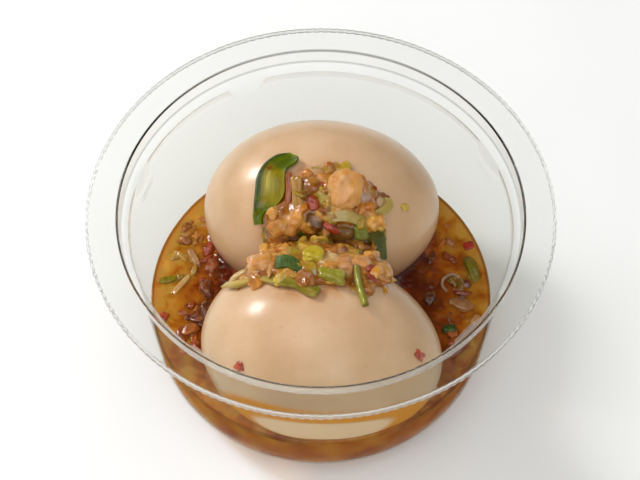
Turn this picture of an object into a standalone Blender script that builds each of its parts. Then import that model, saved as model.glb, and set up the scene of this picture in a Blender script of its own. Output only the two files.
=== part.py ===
# Two marinated soft-boiled eggs in a clear deli cup, with marinade and a chopped topping.
# Metres, +Z up. The origin is the middle of the cup's base and -Y is the front.
# The rear egg lies along X and the front one is turned a little, its right end forward.

import math
import random

import bmesh
import bpy
from mathutils import Matrix, Vector, noise

MM = 0.001
GAP = 0.3 * MM  # clearance between pieces that touch in the real cup

# The cup is a thin shell turned about Z. Radii are those of its inner and upper face.
RIM_RADIUS = 50.5 * MM
CUP_HEIGHT = 52.5 * MM
WALL = 0.5 * MM
LIP_DROP = 1.3 * MM
LIP_ROUND = 0.4 * MM
FLANGE_RADIUS = 43.5 * MM  # the flat flange turns down into the cup here
PLUG_DEPTH = 3.4 * MM  # the straight band that a lid would plug into
PLUG_DRAFT = 0.2 * MM
LEDGE_RADIUS = 41.4 * MM
LEDGE_HEIGHT = 47.4 * MM
DRAFT = math.radians(4.4)
CORNER_RADIUS = 9.3 * MM
CORNER_STEPS = 4
RECESS_RADIUS = 23.5 * MM
RECESS_RISE = 0.7 * MM
CUP_SIDES = 72

# Stacking lugs are dents that stand into the cup just under its ledge.
LUG_ANGLES = (25.0, 114.0, 163.5, 233.5, 318.0)
LUG_FACE_ANGLE = 4.5  # half the width of a lug's face, in degrees round the cup
LUG_FOOT_ANGLE = 6.5  # where its sides meet the wall
LUG_DEPTH = 1.6 * MM
LUG_TOP = 46.4 * MM
LUG_FOOT = 42.6 * MM
LUG_FADE = 2.0 * MM

# Marinade.
MARINADE_LEVEL = 17.2 * MM
MARINADE_SIDES = 48

# Where the soft eggs press on each other and on the wall they are a little flat.
CONTACT_Y = -0.4 * MM
PRESS_SOFTNESS = 0.5 * MM
EGG_SEGMENTS = 32
EGG_RINGS = 18

# Chopped topping. Mounds are coarse, because the pieces on them hold the detail.
MOUND_SUBDIVISIONS = 2
MINCE_SEED = 7
MINCE_COUNT = 14


def at_mm(*values):
    return Vector(value * MM for value in values)


def soft_above(value, floor):
    """The value, eased so that it never falls under the floor."""
    return floor + PRESS_SOFTNESS * math.log1p(math.exp((value - floor) / PRESS_SOFTNESS))


class Egg:
    """An egg on its side: its own X is its long axis, and taper makes the +X end blunter or finer."""

    def __init__(self, centre, half_length, half_width, taper, yaw, side):
        self.centre = at_mm(*centre)
        self.half_length = half_length * MM
        self.half_width = half_width * MM
        self.taper = taper
        self.turn = Matrix.Rotation(math.radians(yaw), 3, "Z")
        self.side = side  # +1 behind the contact plane, -1 in front of it

    def radius(self, along):
        share = along / self.half_length
        return self.half_width * math.sqrt(max(0.0, 1 - share * share)) * (1 + self.taper * share)

    def pressed(self, point, grow):
        inner = CONTACT_Y + self.side * (GAP / 2 - grow)
        y = inner + self.side * (soft_above(self.side * (point.y - inner), 0.0))
        reach = math.hypot(point.x, y)
        limit = wall_radius(point.z) - GAP + grow
        kept = limit - (soft_above(limit - reach, 0.0))
        return Vector((point.x * kept / reach, y * kept / reach, point.z))

    def skin(self, unit, grow):
        """The skin's point for a point of the unit sphere whose poles are on X."""
        across = (self.half_width + grow) * (1 + self.taper * unit.x)
        local = Vector(((self.half_length + grow) * unit.x, across * unit.y, across * unit.z))
        return self.pressed(self.turn @ local + self.centre, grow)

    def spot(self, along, angle, lift=0.0, turn=0.0):
        """A frame on the skin. The angle runs in degrees from the top to the front, lengths are mm,
        X runs along the egg, Y up and over to the back, and Z out of the skin."""
        along, lift = along * MM, lift * MM
        step = 0.05 * MM
        radius = self.radius(along)
        slope = (self.radius(along + step) - self.radius(along - step)) / (2 * step)
        lean = math.radians(angle)
        out = Vector((-slope, -math.sin(lean), math.cos(lean))).normalized()
        here = Vector((along, -radius * math.sin(lean), radius * math.cos(lean)))
        forth = Vector((1, -slope * math.sin(lean), slope * math.cos(lean))).normalized()
        axes = Matrix((forth, out.cross(forth), out)).transposed()
        frame = (self.turn @ axes @ Matrix.Rotation(math.radians(turn), 3, "Z")).to_4x4()
        frame.translation = self.turn @ (here + out * lift) + self.centre
        return frame


def wall_radius(height):
    """Inner radius of the drafted wall."""
    return LEDGE_RADIUS - (LEDGE_HEIGHT - height) * math.tan(DRAFT)


REAR = Egg((0.2, 19.2, 23.9), 27.6, 20.9, -0.027, 0.0, 1)
FRONT = Egg((0.1, -19.6, 25.2), 26.9, 20.5, -0.03, -12.5, -1)


def clear_scene():
    for obj in list(bpy.data.objects):
        bpy.data.objects.remove(obj, do_unlink=True)


def new_collection(name):
    made = bpy.data.collections.new(name)
    bpy.context.scene.collection.children.link(made)
    return made


def new_material(name, colour, roughness, alpha=1.0):
    made = bpy.data.materials.new(name)
    made.use_nodes = True
    made.diffuse_color = (*colour, alpha)
    shader = made.node_tree.nodes["Principled BSDF"]
    shader.inputs["Base Color"].default_value = (*colour, 1.0)
    shader.inputs["Roughness"].default_value = roughness
    shader.inputs["Metallic"].default_value = 0.0
    shader.inputs["Alpha"].default_value = alpha
    return made


def mesh_object(name, shape, material=None, into=None):
    """An object made of a bmesh, which is freed."""
    mesh = bpy.data.meshes.new(name)
    shape.to_mesh(mesh)
    shape.free()
    made = bpy.data.objects.new(name, mesh)
    if material:
        mesh.materials.append(material)
    (into or parts).objects.link(made)
    return made


def bake(obj):
    """Applies the object's modifiers."""
    graph = bpy.context.evaluated_depsgraph_get()
    mesh = bpy.data.meshes.new_from_object(obj.evaluated_get(graph))
    obj.modifiers.clear()
    obj.data = mesh
    mesh.name = obj.name


def smooth(obj, sharp_degrees=40.0):
    obj.data.shade_smooth()
    obj.data.set_sharp_from_angle(angle=math.radians(sharp_degrees))


def as_cutter(obj):
    obj.hide_render = True
    obj.display_type = "WIRE"
    return obj


def cut(obj, cutters):
    """Takes each cutter away from the object."""
    for cutter in cutters:
        away = obj.modifiers.new("Cut " + cutter.name, "BOOLEAN")
        away.operation = "DIFFERENCE"
        away.object = cutter
        away.solver = "EXACT"
    bake(obj)


def fuse(obj, pieces):
    """Joins a collection's pieces to the object and removes them."""
    join = obj.modifiers.new("Fuse", "BOOLEAN")
    join.operation = "UNION"
    join.operand_type = "COLLECTION"
    join.collection = pieces
    join.solver = "EXACT"
    bake(obj)
    for piece in list(pieces.objects):
        bpy.data.objects.remove(piece, do_unlink=True)
    bpy.data.collections.remove(pieces)


def keep_largest(obj):
    """Drops the loose scraps that cutting leaves."""
    shape = bmesh.new()
    shape.from_mesh(obj.data)
    unseen, islands = set(shape.verts), []
    while unseen:
        island, front = set(), [unseen.pop()]
        while front:
            vert = front.pop()
            island.add(vert)
            near = {edge.other_vert(vert) for edge in vert.link_edges} & unseen
            unseen -= near
            front.extend(near)
        islands.append(island)
    largest = max(islands, key=len)
    scraps = [vert for island in islands if island is not largest for vert in island]
    bmesh.ops.delete(shape, geom=scraps, context="VERTS")
    shape.to_mesh(obj.data)
    shape.free()


def turned(name, profile, sides, material):
    """A surface turned about Z from (radius, height) points that run down its outer side."""
    shape = bmesh.new()
    verts = [shape.verts.new((radius, 0, height)) for radius, height in profile]
    for first, second in zip(verts, verts[1:]):
        shape.edges.new((first, second))
    made = mesh_object(name, shape, material)
    screw = made.modifiers.new("Turn", "SCREW")
    screw.steps = screw.render_steps = sides
    screw.use_merge_vertices = True
    screw.merge_threshold = 0.0001
    return made


def corner(inset):
    """The rounded foot of the wall, from the drafted wall to the floor."""
    middle_height = WALL + CORNER_RADIUS
    middle_radius = wall_radius(middle_height) - CORNER_RADIUS / math.cos(DRAFT)
    points = []
    for step in range(CORNER_STEPS + 1):
        angle = DRAFT + (math.pi / 2 - DRAFT) * step / CORNER_STEPS
        reach = CORNER_RADIUS - inset
        points.append((middle_radius + reach * math.cos(angle), middle_height - reach * math.sin(angle)))
    return points


def floor(inset):
    """The standing ring and the raised middle of the base."""
    return [
        (RECESS_RADIUS + inset, WALL + inset),
        (RECESS_RADIUS - RECESS_RISE + inset, WALL + RECESS_RISE + inset),
        (0.0, WALL + RECESS_RISE + inset),
    ]


def dent_lugs(cup):
    """Draws the wall's columns of verts to each lug's sides and pushes its face in."""
    column = 360 / CUP_SIDES
    for vert in cup.data.vertices:
        if not LUG_FOOT - LUG_FADE - GAP < vert.co.z < LEDGE_HEIGHT + GAP:
            continue
        reach = math.hypot(vert.co.x, vert.co.y)
        around = math.degrees(math.atan2(vert.co.y, vert.co.x))
        off, lug = min(
            (((around - angle + 180) % 360 - 180, angle) for angle in LUG_ANGLES), key=lambda found: abs(found[0])
        )
        if abs(off) >= 2 * column:
            continue
        side = LUG_FACE_ANGLE if abs(off) <= column else LUG_FOOT_ANGLE
        if LUG_FOOT - GAP < vert.co.z < LUG_TOP + GAP and side == LUG_FACE_ANGLE:
            reach -= LUG_DEPTH
        turn = math.radians(lug + math.copysign(side, off))
        vert.co.x, vert.co.y = reach * math.cos(turn), reach * math.sin(turn)


def make_cup():
    wall_heights = (LUG_TOP, LUG_FOOT, LUG_FOOT - LUG_FADE)
    profile = [
        (RIM_RADIUS, CUP_HEIGHT - LIP_DROP),
        (RIM_RADIUS, CUP_HEIGHT - LIP_ROUND),
        (RIM_RADIUS - LIP_ROUND, CUP_HEIGHT),
        (FLANGE_RADIUS, CUP_HEIGHT),
        (FLANGE_RADIUS - PLUG_DRAFT, CUP_HEIGHT - PLUG_DEPTH),
        ((FLANGE_RADIUS + LEDGE_RADIUS) / 2, (CUP_HEIGHT - PLUG_DEPTH + LEDGE_HEIGHT) / 2),
        (LEDGE_RADIUS, LEDGE_HEIGHT),
    ]
    profile += [(wall_radius(height), height) for height in wall_heights]
    profile += corner(0.0) + floor(0.0)
    cup = turned("cup", profile, CUP_SIDES, new_material("Clear PET", (0.93, 0.94, 0.93), 0.08, 0.25))
    bake(cup)
    dent_lugs(cup)
    shell = cup.modifiers.new("Wall", "SOLIDIFY")
    shell.thickness = WALL
    shell.offset = 1.0
    shell.use_even_offset = True
    smooth(cup)
    return cup


def egg_shape(egg, grow=0.0, segments=EGG_SEGMENTS, rings=EGG_RINGS):
    shape = bmesh.new()
    bmesh.ops.create_uvsphere(shape, u_segments=segments, v_segments=rings, radius=1.0)
    bmesh.ops.rotate(shape, verts=shape.verts, matrix=Matrix.Rotation(math.pi / 2, 3, "Y"))
    for vert in shape.verts:
        vert.co = egg.skin(vert.co, grow)
    bmesh.ops.recalc_face_normals(shape, faces=shape.faces)
    return shape


def chunk(frame, size, rough=0.12, box=True, grow=0.0):
    """A cut piece: a box or a lump of the size in mm, with uneven corners, in its frame."""
    shape = bmesh.new()
    if box:
        bmesh.ops.create_cube(shape, size=1.0)
    else:
        bmesh.ops.create_icosphere(shape, subdivisions=1, radius=0.5)
    for vert in shape.verts:
        uneven = 1 + rough * noise.noise(vert.co * 3.1 + frame.translation * 900)
        vert.co = Vector(c * (s * uneven * MM + 2 * grow) for c, s in zip(vert.co, size))
    bmesh.ops.transform(shape, matrix=frame, verts=shape.verts)
    return shape


def make_egg(name, egg, material, flakes):
    """An egg with its stuck flakes, each (along, angle, length, width, turn)."""
    made = mesh_object(name, egg_shape(egg), material)
    stuck = new_collection(name + "_flakes")
    for index, (along, angle, length, width, turn) in enumerate(flakes):
        frame = egg.spot(along, angle, 0.1, turn)
        mesh_object(f"{name}_flake_{index}", chunk(frame, (length, width, 1.1)), material, stuck)
    fuse(made, stuck)
    smooth(made)
    return made


def make_marinade(egg_cutters):
    top_radius = wall_radius(MARINADE_LEVEL) - GAP / math.cos(DRAFT)
    profile = [(0.0, MARINADE_LEVEL), (top_radius, MARINADE_LEVEL)] + corner(GAP) + floor(GAP)
    colour = new_material("Chilli soy marinade", (0.42, 0.13, 0.02), 0.1)
    marinade = turned("marinade", profile, MARINADE_SIDES, colour)
    bake(marinade)
    # Bits that float at the surface: x, y, length, width, height in mm, and turn in degrees.
    bits = (
        (-35.8, 3.6, 4.0, 1.9, 1.0, 8),
        (-32.6, 2.2, 6.0, 1.3, 1.0, 55),
        (-29.9, 9.6, 5.2, 1.6, 1.6, 117),
        (-26.2, 12.4, 4.4, 3.4, 2.6, 20),
        (-25.6, 7.2, 4.0, 3.2, 2.2, 75),
        (-26.6, 1.2, 5.6, 3.2, 2.4, 100),
        (-26.4, -4.6, 4.8, 2.6, 2.0, 95),
        (-30.0, -9.9, 3.8, 2.8, 1.8, 30),
        (-28.6, -15.6, 4.2, 2.6, 1.6, 120),
        (-36.2, -6.6, 2.6, 2.0, 1.2, 60),
        (-31.4, 17.0, 4.4, 2.0, 1.0, 50),
        (35.4, 6.6, 7.4, 2.4, 1.6, 108),
        (35.0, 13.0, 2.4, 1.9, 1.2, 20),
        (30.6, 2.4, 5.2, 4.4, 1.8, 20),
        (32.6, -3.2, 5.0, 3.4, 1.8, 150),
        (35.6, -7.6, 3.0, 2.0, 1.2, 60),
        (29.4, -9.8, 3.4, 2.0, 1.8, 10),
        (25.4, -1.4, 3.6, 2.6, 1.6, 70),
    )
    floating = new_collection("marinade_bits")
    for index, (x, y, length, width, height, turn) in enumerate(bits):
        frame = Matrix.Translation(at_mm(x, y, MARINADE_LEVEL / MM)) @ Matrix.Rotation(math.radians(turn), 4, "Z")
        shape = chunk(frame, (length, width, height), box=False)
        mesh_object(f"bit_{index}", shape, colour, floating)
    fuse(marinade, floating)
    cut(marinade, egg_cutters)
    keep_largest(marinade)
    smooth(marinade, 30.0)
    return marinade


def eased(values, share):
    """A smooth value at a share from 0 to 1 of the way along evenly spaced ones."""
    place = share * (len(values) - 1)
    index = min(int(place), len(values) - 2)
    t = place - index
    before, first = values[max(index - 1, 0)], values[index]
    second, after = values[index + 1], values[min(index + 2, len(values) - 1)]
    return first + 0.5 * t * (
        second - before + t * (2 * before - 5 * first + 4 * second - after + t * (3 * (first - second) + after - before))
    )


def leaf_grid(egg, stations, lift, steps, across, grow):
    """A leaf's middle surface over an egg. A station is the (along, angle) of its two edges in
    mm and degrees, and lift(share across, share along) is its height over the skin in mm."""
    columns = list(zip(*stations))
    shape = bmesh.new()
    rows = []
    for step in range(steps + 1):
        share = step / steps
        along_a, angle_a, along_b, angle_b = (eased(column, share) for column in columns)
        row = []
        for cell in range(across + 1):
            side = cell / across
            along = along_a + (along_b - along_a) * side
            angle = angle_a + (angle_b - angle_a) * side
            row.append(shape.verts.new(egg.spot(along, angle, lift(side, share)).translation))
        rows.append(row)
    for edge, inner in ((row[end], row[end + step]) for row in rows for end, step in ((0, 1), (-1, -1))):
        edge.co += (edge.co - inner.co).normalized() * grow
    for end, inner in ((rows[0], rows[1]), (rows[-1], rows[-2])):
        for vert, other in zip(end, inner):
            vert.co += (vert.co - other.co).normalized() * grow
    for near, far in zip(rows, rows[1:]):
        for cell in range(across):
            a, b, c, d = near[cell], near[cell + 1], far[cell + 1], far[cell]
            shape.faces.new((a, b, c))
            shape.faces.new((a, c, d))
    bmesh.ops.recalc_face_normals(shape, faces=shape.faces)
    return shape


def make_leaf(name, egg, stations, lift, steps, across, thickness, material):
    """A leaf and the slightly larger copy that keeps the heap clear of it."""
    leaf = mesh_object(name, leaf_grid(egg, stations, lift, steps, across, 0.0), material)
    room = mesh_object(name + "_grown", leaf_grid(egg, stations, lift, steps, across, GAP), None, cutters)
    for obj, extra in ((leaf, 0.0), (room, 2 * GAP)):
        body = obj.modifiers.new("Leaf thickness", "SOLIDIFY")
        body.thickness = thickness * MM + extra
        body.offset = 0.0
        body.use_even_offset = True
    smooth(leaf)
    return as_cutter(room)


def band(egg, path, widths):
    """Leaf stations along a path of (along, angle) for a band of the widths in mm."""
    degree = math.radians(egg.half_width) / MM
    stations = []
    for index, (along, angle) in enumerate(path):
        before, after = path[max(index - 1, 0)], path[min(index + 1, len(path) - 1)]
        run = Vector((after[0] - before[0], (after[1] - before[1]) * degree)).normalized()
        half = widths[index] / 2
        stations.append(
            (along - run.y * half, angle + run.x * half / degree, along + run.y * half, angle - run.x * half / degree)
        )
    return stations


def make_chunk(name, egg, place, size, turn, material, rounding):
    """A cut block of onion and its grown copy."""
    frame = egg.spot(*place, turn)
    block = mesh_object(name, chunk(frame, size), material)
    edges = block.modifiers.new("Soft edges", "BEVEL")
    edges.width = rounding * MM
    edges.segments = 2
    smooth(block)
    return as_cutter(mesh_object(name + "_grown", chunk(frame, size, grow=GAP), None, cutters))


def make_stalk(name, egg, path, radius, material):
    """A thin round stalk over an egg and its grown copy."""
    points = [egg.spot(along, angle, lift).translation for along, angle, lift in path]
    run = [(points[1] - points[0]).normalized(), (points[-1] - points[-2]).normalized()]
    made = []
    for label, grow, into in ((name, 0.0, parts), (name + "_grown", GAP, cutters)):
        ends = [points[0] - run[0] * grow, *points[1:-1], points[-1] + run[1] * grow]
        curve = bpy.data.curves.new(label, "CURVE")
        curve.dimensions = "3D"
        curve.bevel_depth = radius * MM + grow
        curve.bevel_resolution = 1
        curve.use_fill_caps = True
        spline = curve.splines.new("POLY")
        spline.points.add(len(ends) - 1)
        for point, place in zip(spline.points, ends):
            point.co = (*place, 1.0)
        tube = bpy.data.objects.new(label, curve)
        into.objects.link(tube)
        made.append(tube)
    made[0].data.materials.append(material)
    return as_cutter(meshed(made[1]))


def meshed(tube):
    """The same tube as a closed mesh, which a Boolean can use."""
    graph = bpy.context.evaluated_depsgraph_get()
    shape = bmesh.new()
    shape.from_mesh(bpy.data.meshes.new_from_object(tube.evaluated_get(graph)))
    bmesh.ops.remove_doubles(shape, verts=shape.verts, dist=0.00001)
    name, into = tube.name, tube.users_collection[0]
    bpy.data.objects.remove(tube, do_unlink=True)
    return mesh_object(name, shape, None, into)


def blob(frame, size):
    """A lumpy mound of the size in mm, part of the heap's core."""
    shape = bmesh.new()
    bmesh.ops.create_icosphere(shape, subdivisions=MOUND_SUBDIVISIONS, radius=0.5)
    for vert in shape.verts:
        rough = 1 + 0.16 * noise.noise(vert.co * 5.0 + frame.translation * 700)
        vert.co = Vector(c * s * MM * rough for c, s in zip(vert.co, size))
    bmesh.ops.transform(shape, matrix=frame, verts=shape.verts)
    return shape


def make_toppings():
    """The larger pieces, each a node of its own. Returns what the heap is cut back by."""
    green = new_material("Scallion leaf", (0.10, 0.25, 0.03), 0.3)
    pale_green = new_material("Scallion stem", (0.45, 0.45, 0.10), 0.3)
    onion = new_material("Marinated onion", (0.72, 0.38, 0.13), 0.3)

    # The big curled leaf is an arch that runs from its foot, low on the left, over to the right.
    curl_edges = (
        (-14.7, 45.4, -12.9, 44.8),
        (-14.7, 39.0, -12.6, 38.0),
        (-14.5, 32.0, -9.6, 32.5),
        (-14.2, 23.0, -8.0, 25.0),
        (-13.9, 13.5, -8.0, 16.0),
        (-12.4, 5.0, -7.6, 10.0),
        (-9.8, -0.6, -5.6, 6.5),
        (-7.0, -1.6, -5.1, 2.5),
    )

    def curl_lift(side, share):
        rise = math.sin(math.pi * min(1.0, share * 1.1))
        return 0.75 + 2.0 * rise * (1 - side) ** 2 + 0.5 * side * side

    def ripple(height, waves, depth):
        return lambda side, share: height + depth * math.sin(waves * math.pi * share) * (0.4 + side)

    return [
        make_leaf("scallion_curl", REAR, curl_edges, curl_lift, 14, 6, 0.6, green),
        make_leaf(
            "scallion_leaf", REAR,
            band(REAR, ((10.4, 43.0), (11.4, 50.0), (12.3, 57.0), (13.1, 65.0), (13.8, 73.0)), (1.8, 3.2, 3.4, 2.4, 1.2)),
            ripple(0.9, 2, 0.2), 8, 3, 0.5, green,
        ),
        make_leaf(
            "scallion_shred", REAR,
            band(REAR, ((1.2, 39.1), (5.1, 38.6), (8.5, 41.5), (11.2, 38.4), (13.7, 32.9), (13.5, 28.3)),
                 (1.8, 2.2, 2.0, 2.0, 1.6, 1.2)),
            ripple(2.9, 3, 0.3), 12, 2, 0.7, pale_green,
        ),
        make_leaf(
            "scallion_strip", FRONT,
            band(FRONT, ((-21.9, -19.0), (-18.9, -11.5), (-15.8, -13.0), (-12.9, -12.4), (-9.5, -9.2), (-6.0, -8.6),
                         (-2.9, -5.1), (-1.0, -3.3)), (1.3, 1.8, 2.0, 2.1, 2.5, 2.8, 3.0, 2.2)),
            ripple(1.0, 4, 0.15), 16, 2, 0.8, pale_green,
        ),
        make_leaf(
            "scallion_cut", FRONT,
            ((-11.4, -26.5, -6.3, -22.0), (-10.9, -20.5, -5.6, -17.0), (-10.5, -15.4, -5.0, -12.4)),
            lambda side, share: 2.4 + 0.9 * math.sin(math.pi * side), 4, 4, 0.8, green,
        ),
        make_stalk(
            "scallion_stalk", FRONT,
            ((5.1, -25.0, 3.0), (5.8, -21.0, 2.1), (6.8, -15.0, 1.4), (7.9, -9.0, 1.15), (9.0, -3.3, 1.15)), 0.75, green,
        ),
        make_chunk("onion_chunk", REAR, (4.9, 23.8, 2.4), (7.6, 7.8, 3.6), -4, onion, 1.0),
    ]


def make_heap(cutter_list):
    """The chopped heap that fills the valley between the eggs and climbs both of them."""
    colour = new_material("Chopped onion and scallion", (0.62, 0.40, 0.17), 0.35)
    valley = Matrix.Translation(at_mm(-1.0, 0.2, 33.5))
    heap = mesh_object("topping_heap", blob(valley, (26, 8, 8)), colour)
    pieces = new_collection("heap_pieces")
    mounds = (
        (REAR.spot(0.5, 41.0), (24, 10, 5)),
        (REAR.spot(3.0, 26.0), (19, 10, 4.6)),
        (FRONT.spot(-11.0, -28.0), (15, 12, 4.2)),
        (FRONT.spot(-2.0, -28.0), (14, 13, 4.4)),
        (FRONT.spot(6.5, -37.0), (13, 11, 4.8)),
        (FRONT.spot(-3.0, -46.0), (24, 9, 6)),
    )
    for index, (frame, size) in enumerate(mounds):
        mesh_object(f"mound_{index}", blob(frame, size), colour, pieces)

    # Pieces that show: egg, along, angle, lift, then length, width and height, turn, and whether cut square.
    showing = (
        (REAR, -7.0, 24, 1.4, 1.3, 6.8, 1.4, 0, True),
        (REAR, -5.0, 27, 2.0, 2.6, 7.4, 2.4, 6, True),
        (REAR, -1.8, 21, 1.2, 3.2, 3.0, 2.6, 20, False),
        (REAR, -1.9, 32, 2.6, 2.2, 3.8, 1.8, 24, True),
        (REAR, 9.0, 28, 1.6, 2.6, 4.4, 2.4, 20, True),
        (REAR, 10.6, 31, 1.5, 1.6, 3.0, 1.6, -16, True),
        (REAR, 12.6, 31, 0.9, 2.6, 2.4, 2.2, 0, False),
        (REAR, -1.3, 42, 2.8, 3.2, 4.0, 3.2, 0, False),
        (REAR, -9.1, 46, 1.9, 4.2, 4.2, 3.2, 30, False),
        (REAR, -6.4, 44, 2.1, 3.4, 4.4, 3.2, -20, False),
        (REAR, -9.9, 38, 1.1, 3.6, 3.0, 2.4, 15, False),
        (REAR, 1.8, 45, 3.0, 3.6, 1.8, 1.6, -35, True),
        (REAR, 8.0, 48, 2.2, 3.0, 3.6, 2.6, 10, True),
        (REAR, 4.4, 49, 2.2, 4.4, 3.4, 2.6, -8, True),
        (FRONT, -14.6, -25, 1.9, 6.2, 5.0, 3.8, 10, False),
        (FRONT, -19.4, -25, 0.6, 4.6, 1.5, 1.6, 20, True),
        (FRONT, -3.9, -27, 2.8, 3.8, 3.4, 2.4, 4, True),
        (FRONT, -0.7, -28, 2.4, 3.8, 4.2, 3.6, 0, False),
        (FRONT, 2.6, -27, 2.0, 3.4, 4.6, 3.2, 15, False),
        (FRONT, 0.8, -16, 1.3, 5.2, 2.8, 2.4, -6, True),
        (FRONT, 7.3, -32, 2.2, 2.6, 2.2, 1.8, 30, True),
        (FRONT, 9.8, -41, 1.6, 5.4, 5.0, 3.6, 0, False),
        (FRONT, 5.5, -32, 2.4, 3.6, 3.4, 3.2, 0, False),
        (FRONT, -4.0, -14, 1.0, 2.8, 2.6, 2.4, 0, False),
    )
    for index, (egg, along, angle, lift, length, width, height, turn, square) in enumerate(showing):
        shape = chunk(egg.spot(along, angle, lift, turn), (length, width, height), box=square)
        mesh_object(f"showing_{index}", shape, colour, pieces)

    # Fine mince between them.
    draw = random.Random(MINCE_SEED)
    for index in range(MINCE_COUNT):
        egg, low, high = ((REAR, 26.0, 54.0), (FRONT, -46.0, -18.0))[index % 2]
        frame = egg.spot(draw.uniform(-11, 10), draw.uniform(low, high), draw.uniform(1.8, 2.6), draw.uniform(0, 180))
        size = [draw.uniform(1.4, 2.6) for axis in range(3)]
        mesh_object(f"mince_{index}", chunk(frame, size), colour, pieces)
    fuse(heap, pieces)
    cut(heap, cutter_list)
    keep_largest(heap)
    smooth(heap, 30.0)
    return heap


clear_scene()
parts = new_collection("marinated_eggs_in_cup")
cutters = new_collection("cutters")

make_cup()
egg_cutters = [
    as_cutter(mesh_object(name + "_grown", egg_shape(egg, GAP + 0.05 * MM), None, cutters))
    for name, egg in (("egg_rear", REAR), ("egg_front", FRONT))
]
egg_colour = new_material("Marinated egg white", (0.66, 0.46, 0.30), 0.35)
make_egg("egg_rear", REAR, egg_colour, [(18.8, 33.2, 2.0, 1.4, 20)])
make_egg("egg_front", FRONT, egg_colour, [(-14.9, 52.2, 2.2, 1.8, 15), (22.0, 15.2, 2.6, 1.9, -10)])
make_marinade(egg_cutters)
topping_cutters = make_toppings()
make_heap(egg_cutters + topping_cutters)
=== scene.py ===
# Two marinated soft-boiled eggs in a clear deli cup, dressed for a studio photograph.
import math
import random

import bmesh
import bpy
from mathutils import Matrix, Vector, noise
from mathutils.bvhtree import BVHTree
from mathutils.kdtree import KDTree


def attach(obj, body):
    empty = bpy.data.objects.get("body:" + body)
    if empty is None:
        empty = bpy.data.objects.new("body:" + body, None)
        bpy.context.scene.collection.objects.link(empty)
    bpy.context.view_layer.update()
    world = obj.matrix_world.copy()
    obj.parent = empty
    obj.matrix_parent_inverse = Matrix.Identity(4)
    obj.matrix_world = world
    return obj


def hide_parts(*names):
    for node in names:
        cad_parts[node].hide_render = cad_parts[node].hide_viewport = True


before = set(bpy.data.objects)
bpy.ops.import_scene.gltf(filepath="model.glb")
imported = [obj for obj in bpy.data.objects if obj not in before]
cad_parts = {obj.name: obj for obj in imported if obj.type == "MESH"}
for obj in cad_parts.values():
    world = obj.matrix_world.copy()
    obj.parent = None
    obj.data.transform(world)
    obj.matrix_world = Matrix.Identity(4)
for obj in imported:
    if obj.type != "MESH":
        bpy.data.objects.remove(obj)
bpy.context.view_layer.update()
print("frame loaded:", len(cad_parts), "nodes")

mm = 0.001
bpy.context.scene.view_settings.view_transform = "Standard"  # a white sweep stays white

# The eggs are shared by almost every piece, so they come first. Each lies on its side with its
# long axis along its own X. Lengths here and in the pieces' dictionaries are mm, angles degrees.
rearEgg = {
    "centre": (0.2, 19.2, 23.9), "halfLength": 27.6, "halfWidth": 20.9,
    "taper": -0.027, "yaw": 0.0, "side": 1,
}
frontEgg = {
    "centre": (0.1, -19.6, 25.2), "halfLength": 26.9, "halfWidth": 20.5,
    "taper": -0.03, "yaw": -12.5, "side": -1,
}
eggs = (rearEgg, frontEgg)
pressing = {"contactY": -0.4, "softness": 0.5, "gap": 0.3}

cup = {
    "rimRadius": 50.5, "height": 52.5, "wall": 0.5, "lipDrop": 1.3, "lipRound": 0.6, "lipWidth": 1.1,
    "flangeRadius": 43.5, "plugDepth": 3.4, "plugDraft": 0.2, "ledgeRadius": 41.4, "ledgeHeight": 47.4,
    "draft": 4.4, "cornerRadius": 9.3, "recessRadius": 23.5, "recessRise": 0.7,
    "edgeSteps": 5, "cornerSteps": 14, "wallRows": 14,
    "knurls": 168, "sidesPerKnurl": 4, "knurlDepth": 0.2, "knurlStart": 0.9, "knurlFull": 0.1,
    "mouthRound": 0.6, "plugRound": 0.3, "ledgeRound": 0.8,
    "lugAngles": (25.0, 114.0, 163.5, 233.5, 318.0), "lugFace": 2.6, "lugFoot": 8.0,
    "lugDepth": 1.2, "lugTop": 45.6, "lugBottom": 43.4, "lugFade": 3.2,
}


# Helpers

def hexColour(code):
    shares = [int(code[place:place + 2], 16) / 255 for place in (1, 3, 5)]
    linear = [share / 12.92 if share <= 0.04045 else ((share + 0.055) / 1.055) ** 2.4 for share in shares]
    return (*linear, 1.0)


def mixTint(first, second, share):
    return tuple(low + (high - low) * share for low, high in zip(first, second))


def mixHex(first, second, share):
    return mixTint(hexColour(first), hexColour(second), share)


def addNode(tree, kind, inputs=None, links=None, **settings):
    # a link comes from a socket, or from the first output in use of a node
    node = tree.nodes.new(kind)
    for name, value in settings.items():
        setattr(node, name, value)
    for name, value in (inputs or {}).items():
        node.inputs[name].default_value = value
    for name, source in (links or {}).items():
        if isinstance(source, bpy.types.Node):
            source = next(socket for socket in source.outputs if socket.enabled)
        tree.links.new(source, node.inputs[name])
    return node


def newMaterial(name):
    material = bpy.data.materials.new(name)
    material.use_nodes = True
    tree = material.node_tree
    tree.nodes.clear()
    return material, tree, tree.nodes.new("ShaderNodeOutputMaterial")


def addRamp(tree, factor, stops):
    # stops are (place, hex) pairs
    node = addNode(tree, "ShaderNodeValToRGB", links={"Fac": factor})
    ramp = node.color_ramp
    while len(ramp.elements) < len(stops):
        ramp.elements.new(0.5)
    for element, (place, code) in zip(ramp.elements, stops):
        element.position = place
        element.color = hexColour(code)
    return node


def clamped(value, low=0.0, high=1.0):
    return max(low, min(high, value))


def smoothStep(low, high, value):
    share = clamped((value - low) / (high - low))
    return share * share * (3 - 2 * share)


def eased(values, share):
    # a smooth value at a share from 0 to 1 of the way along evenly spaced ones
    place = share * (len(values) - 1)
    index = min(int(place), len(values) - 2)
    t = place - index
    before, first = values[max(index - 1, 0)], values[index]
    second, after = values[index + 1], values[min(index + 2, len(values) - 1)]
    square = 2 * before - 5 * first + 4 * second - after
    cube = 3 * (first - second) + after - before
    return first + 0.5 * t * (second - before + t * (square + t * cube))


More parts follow.
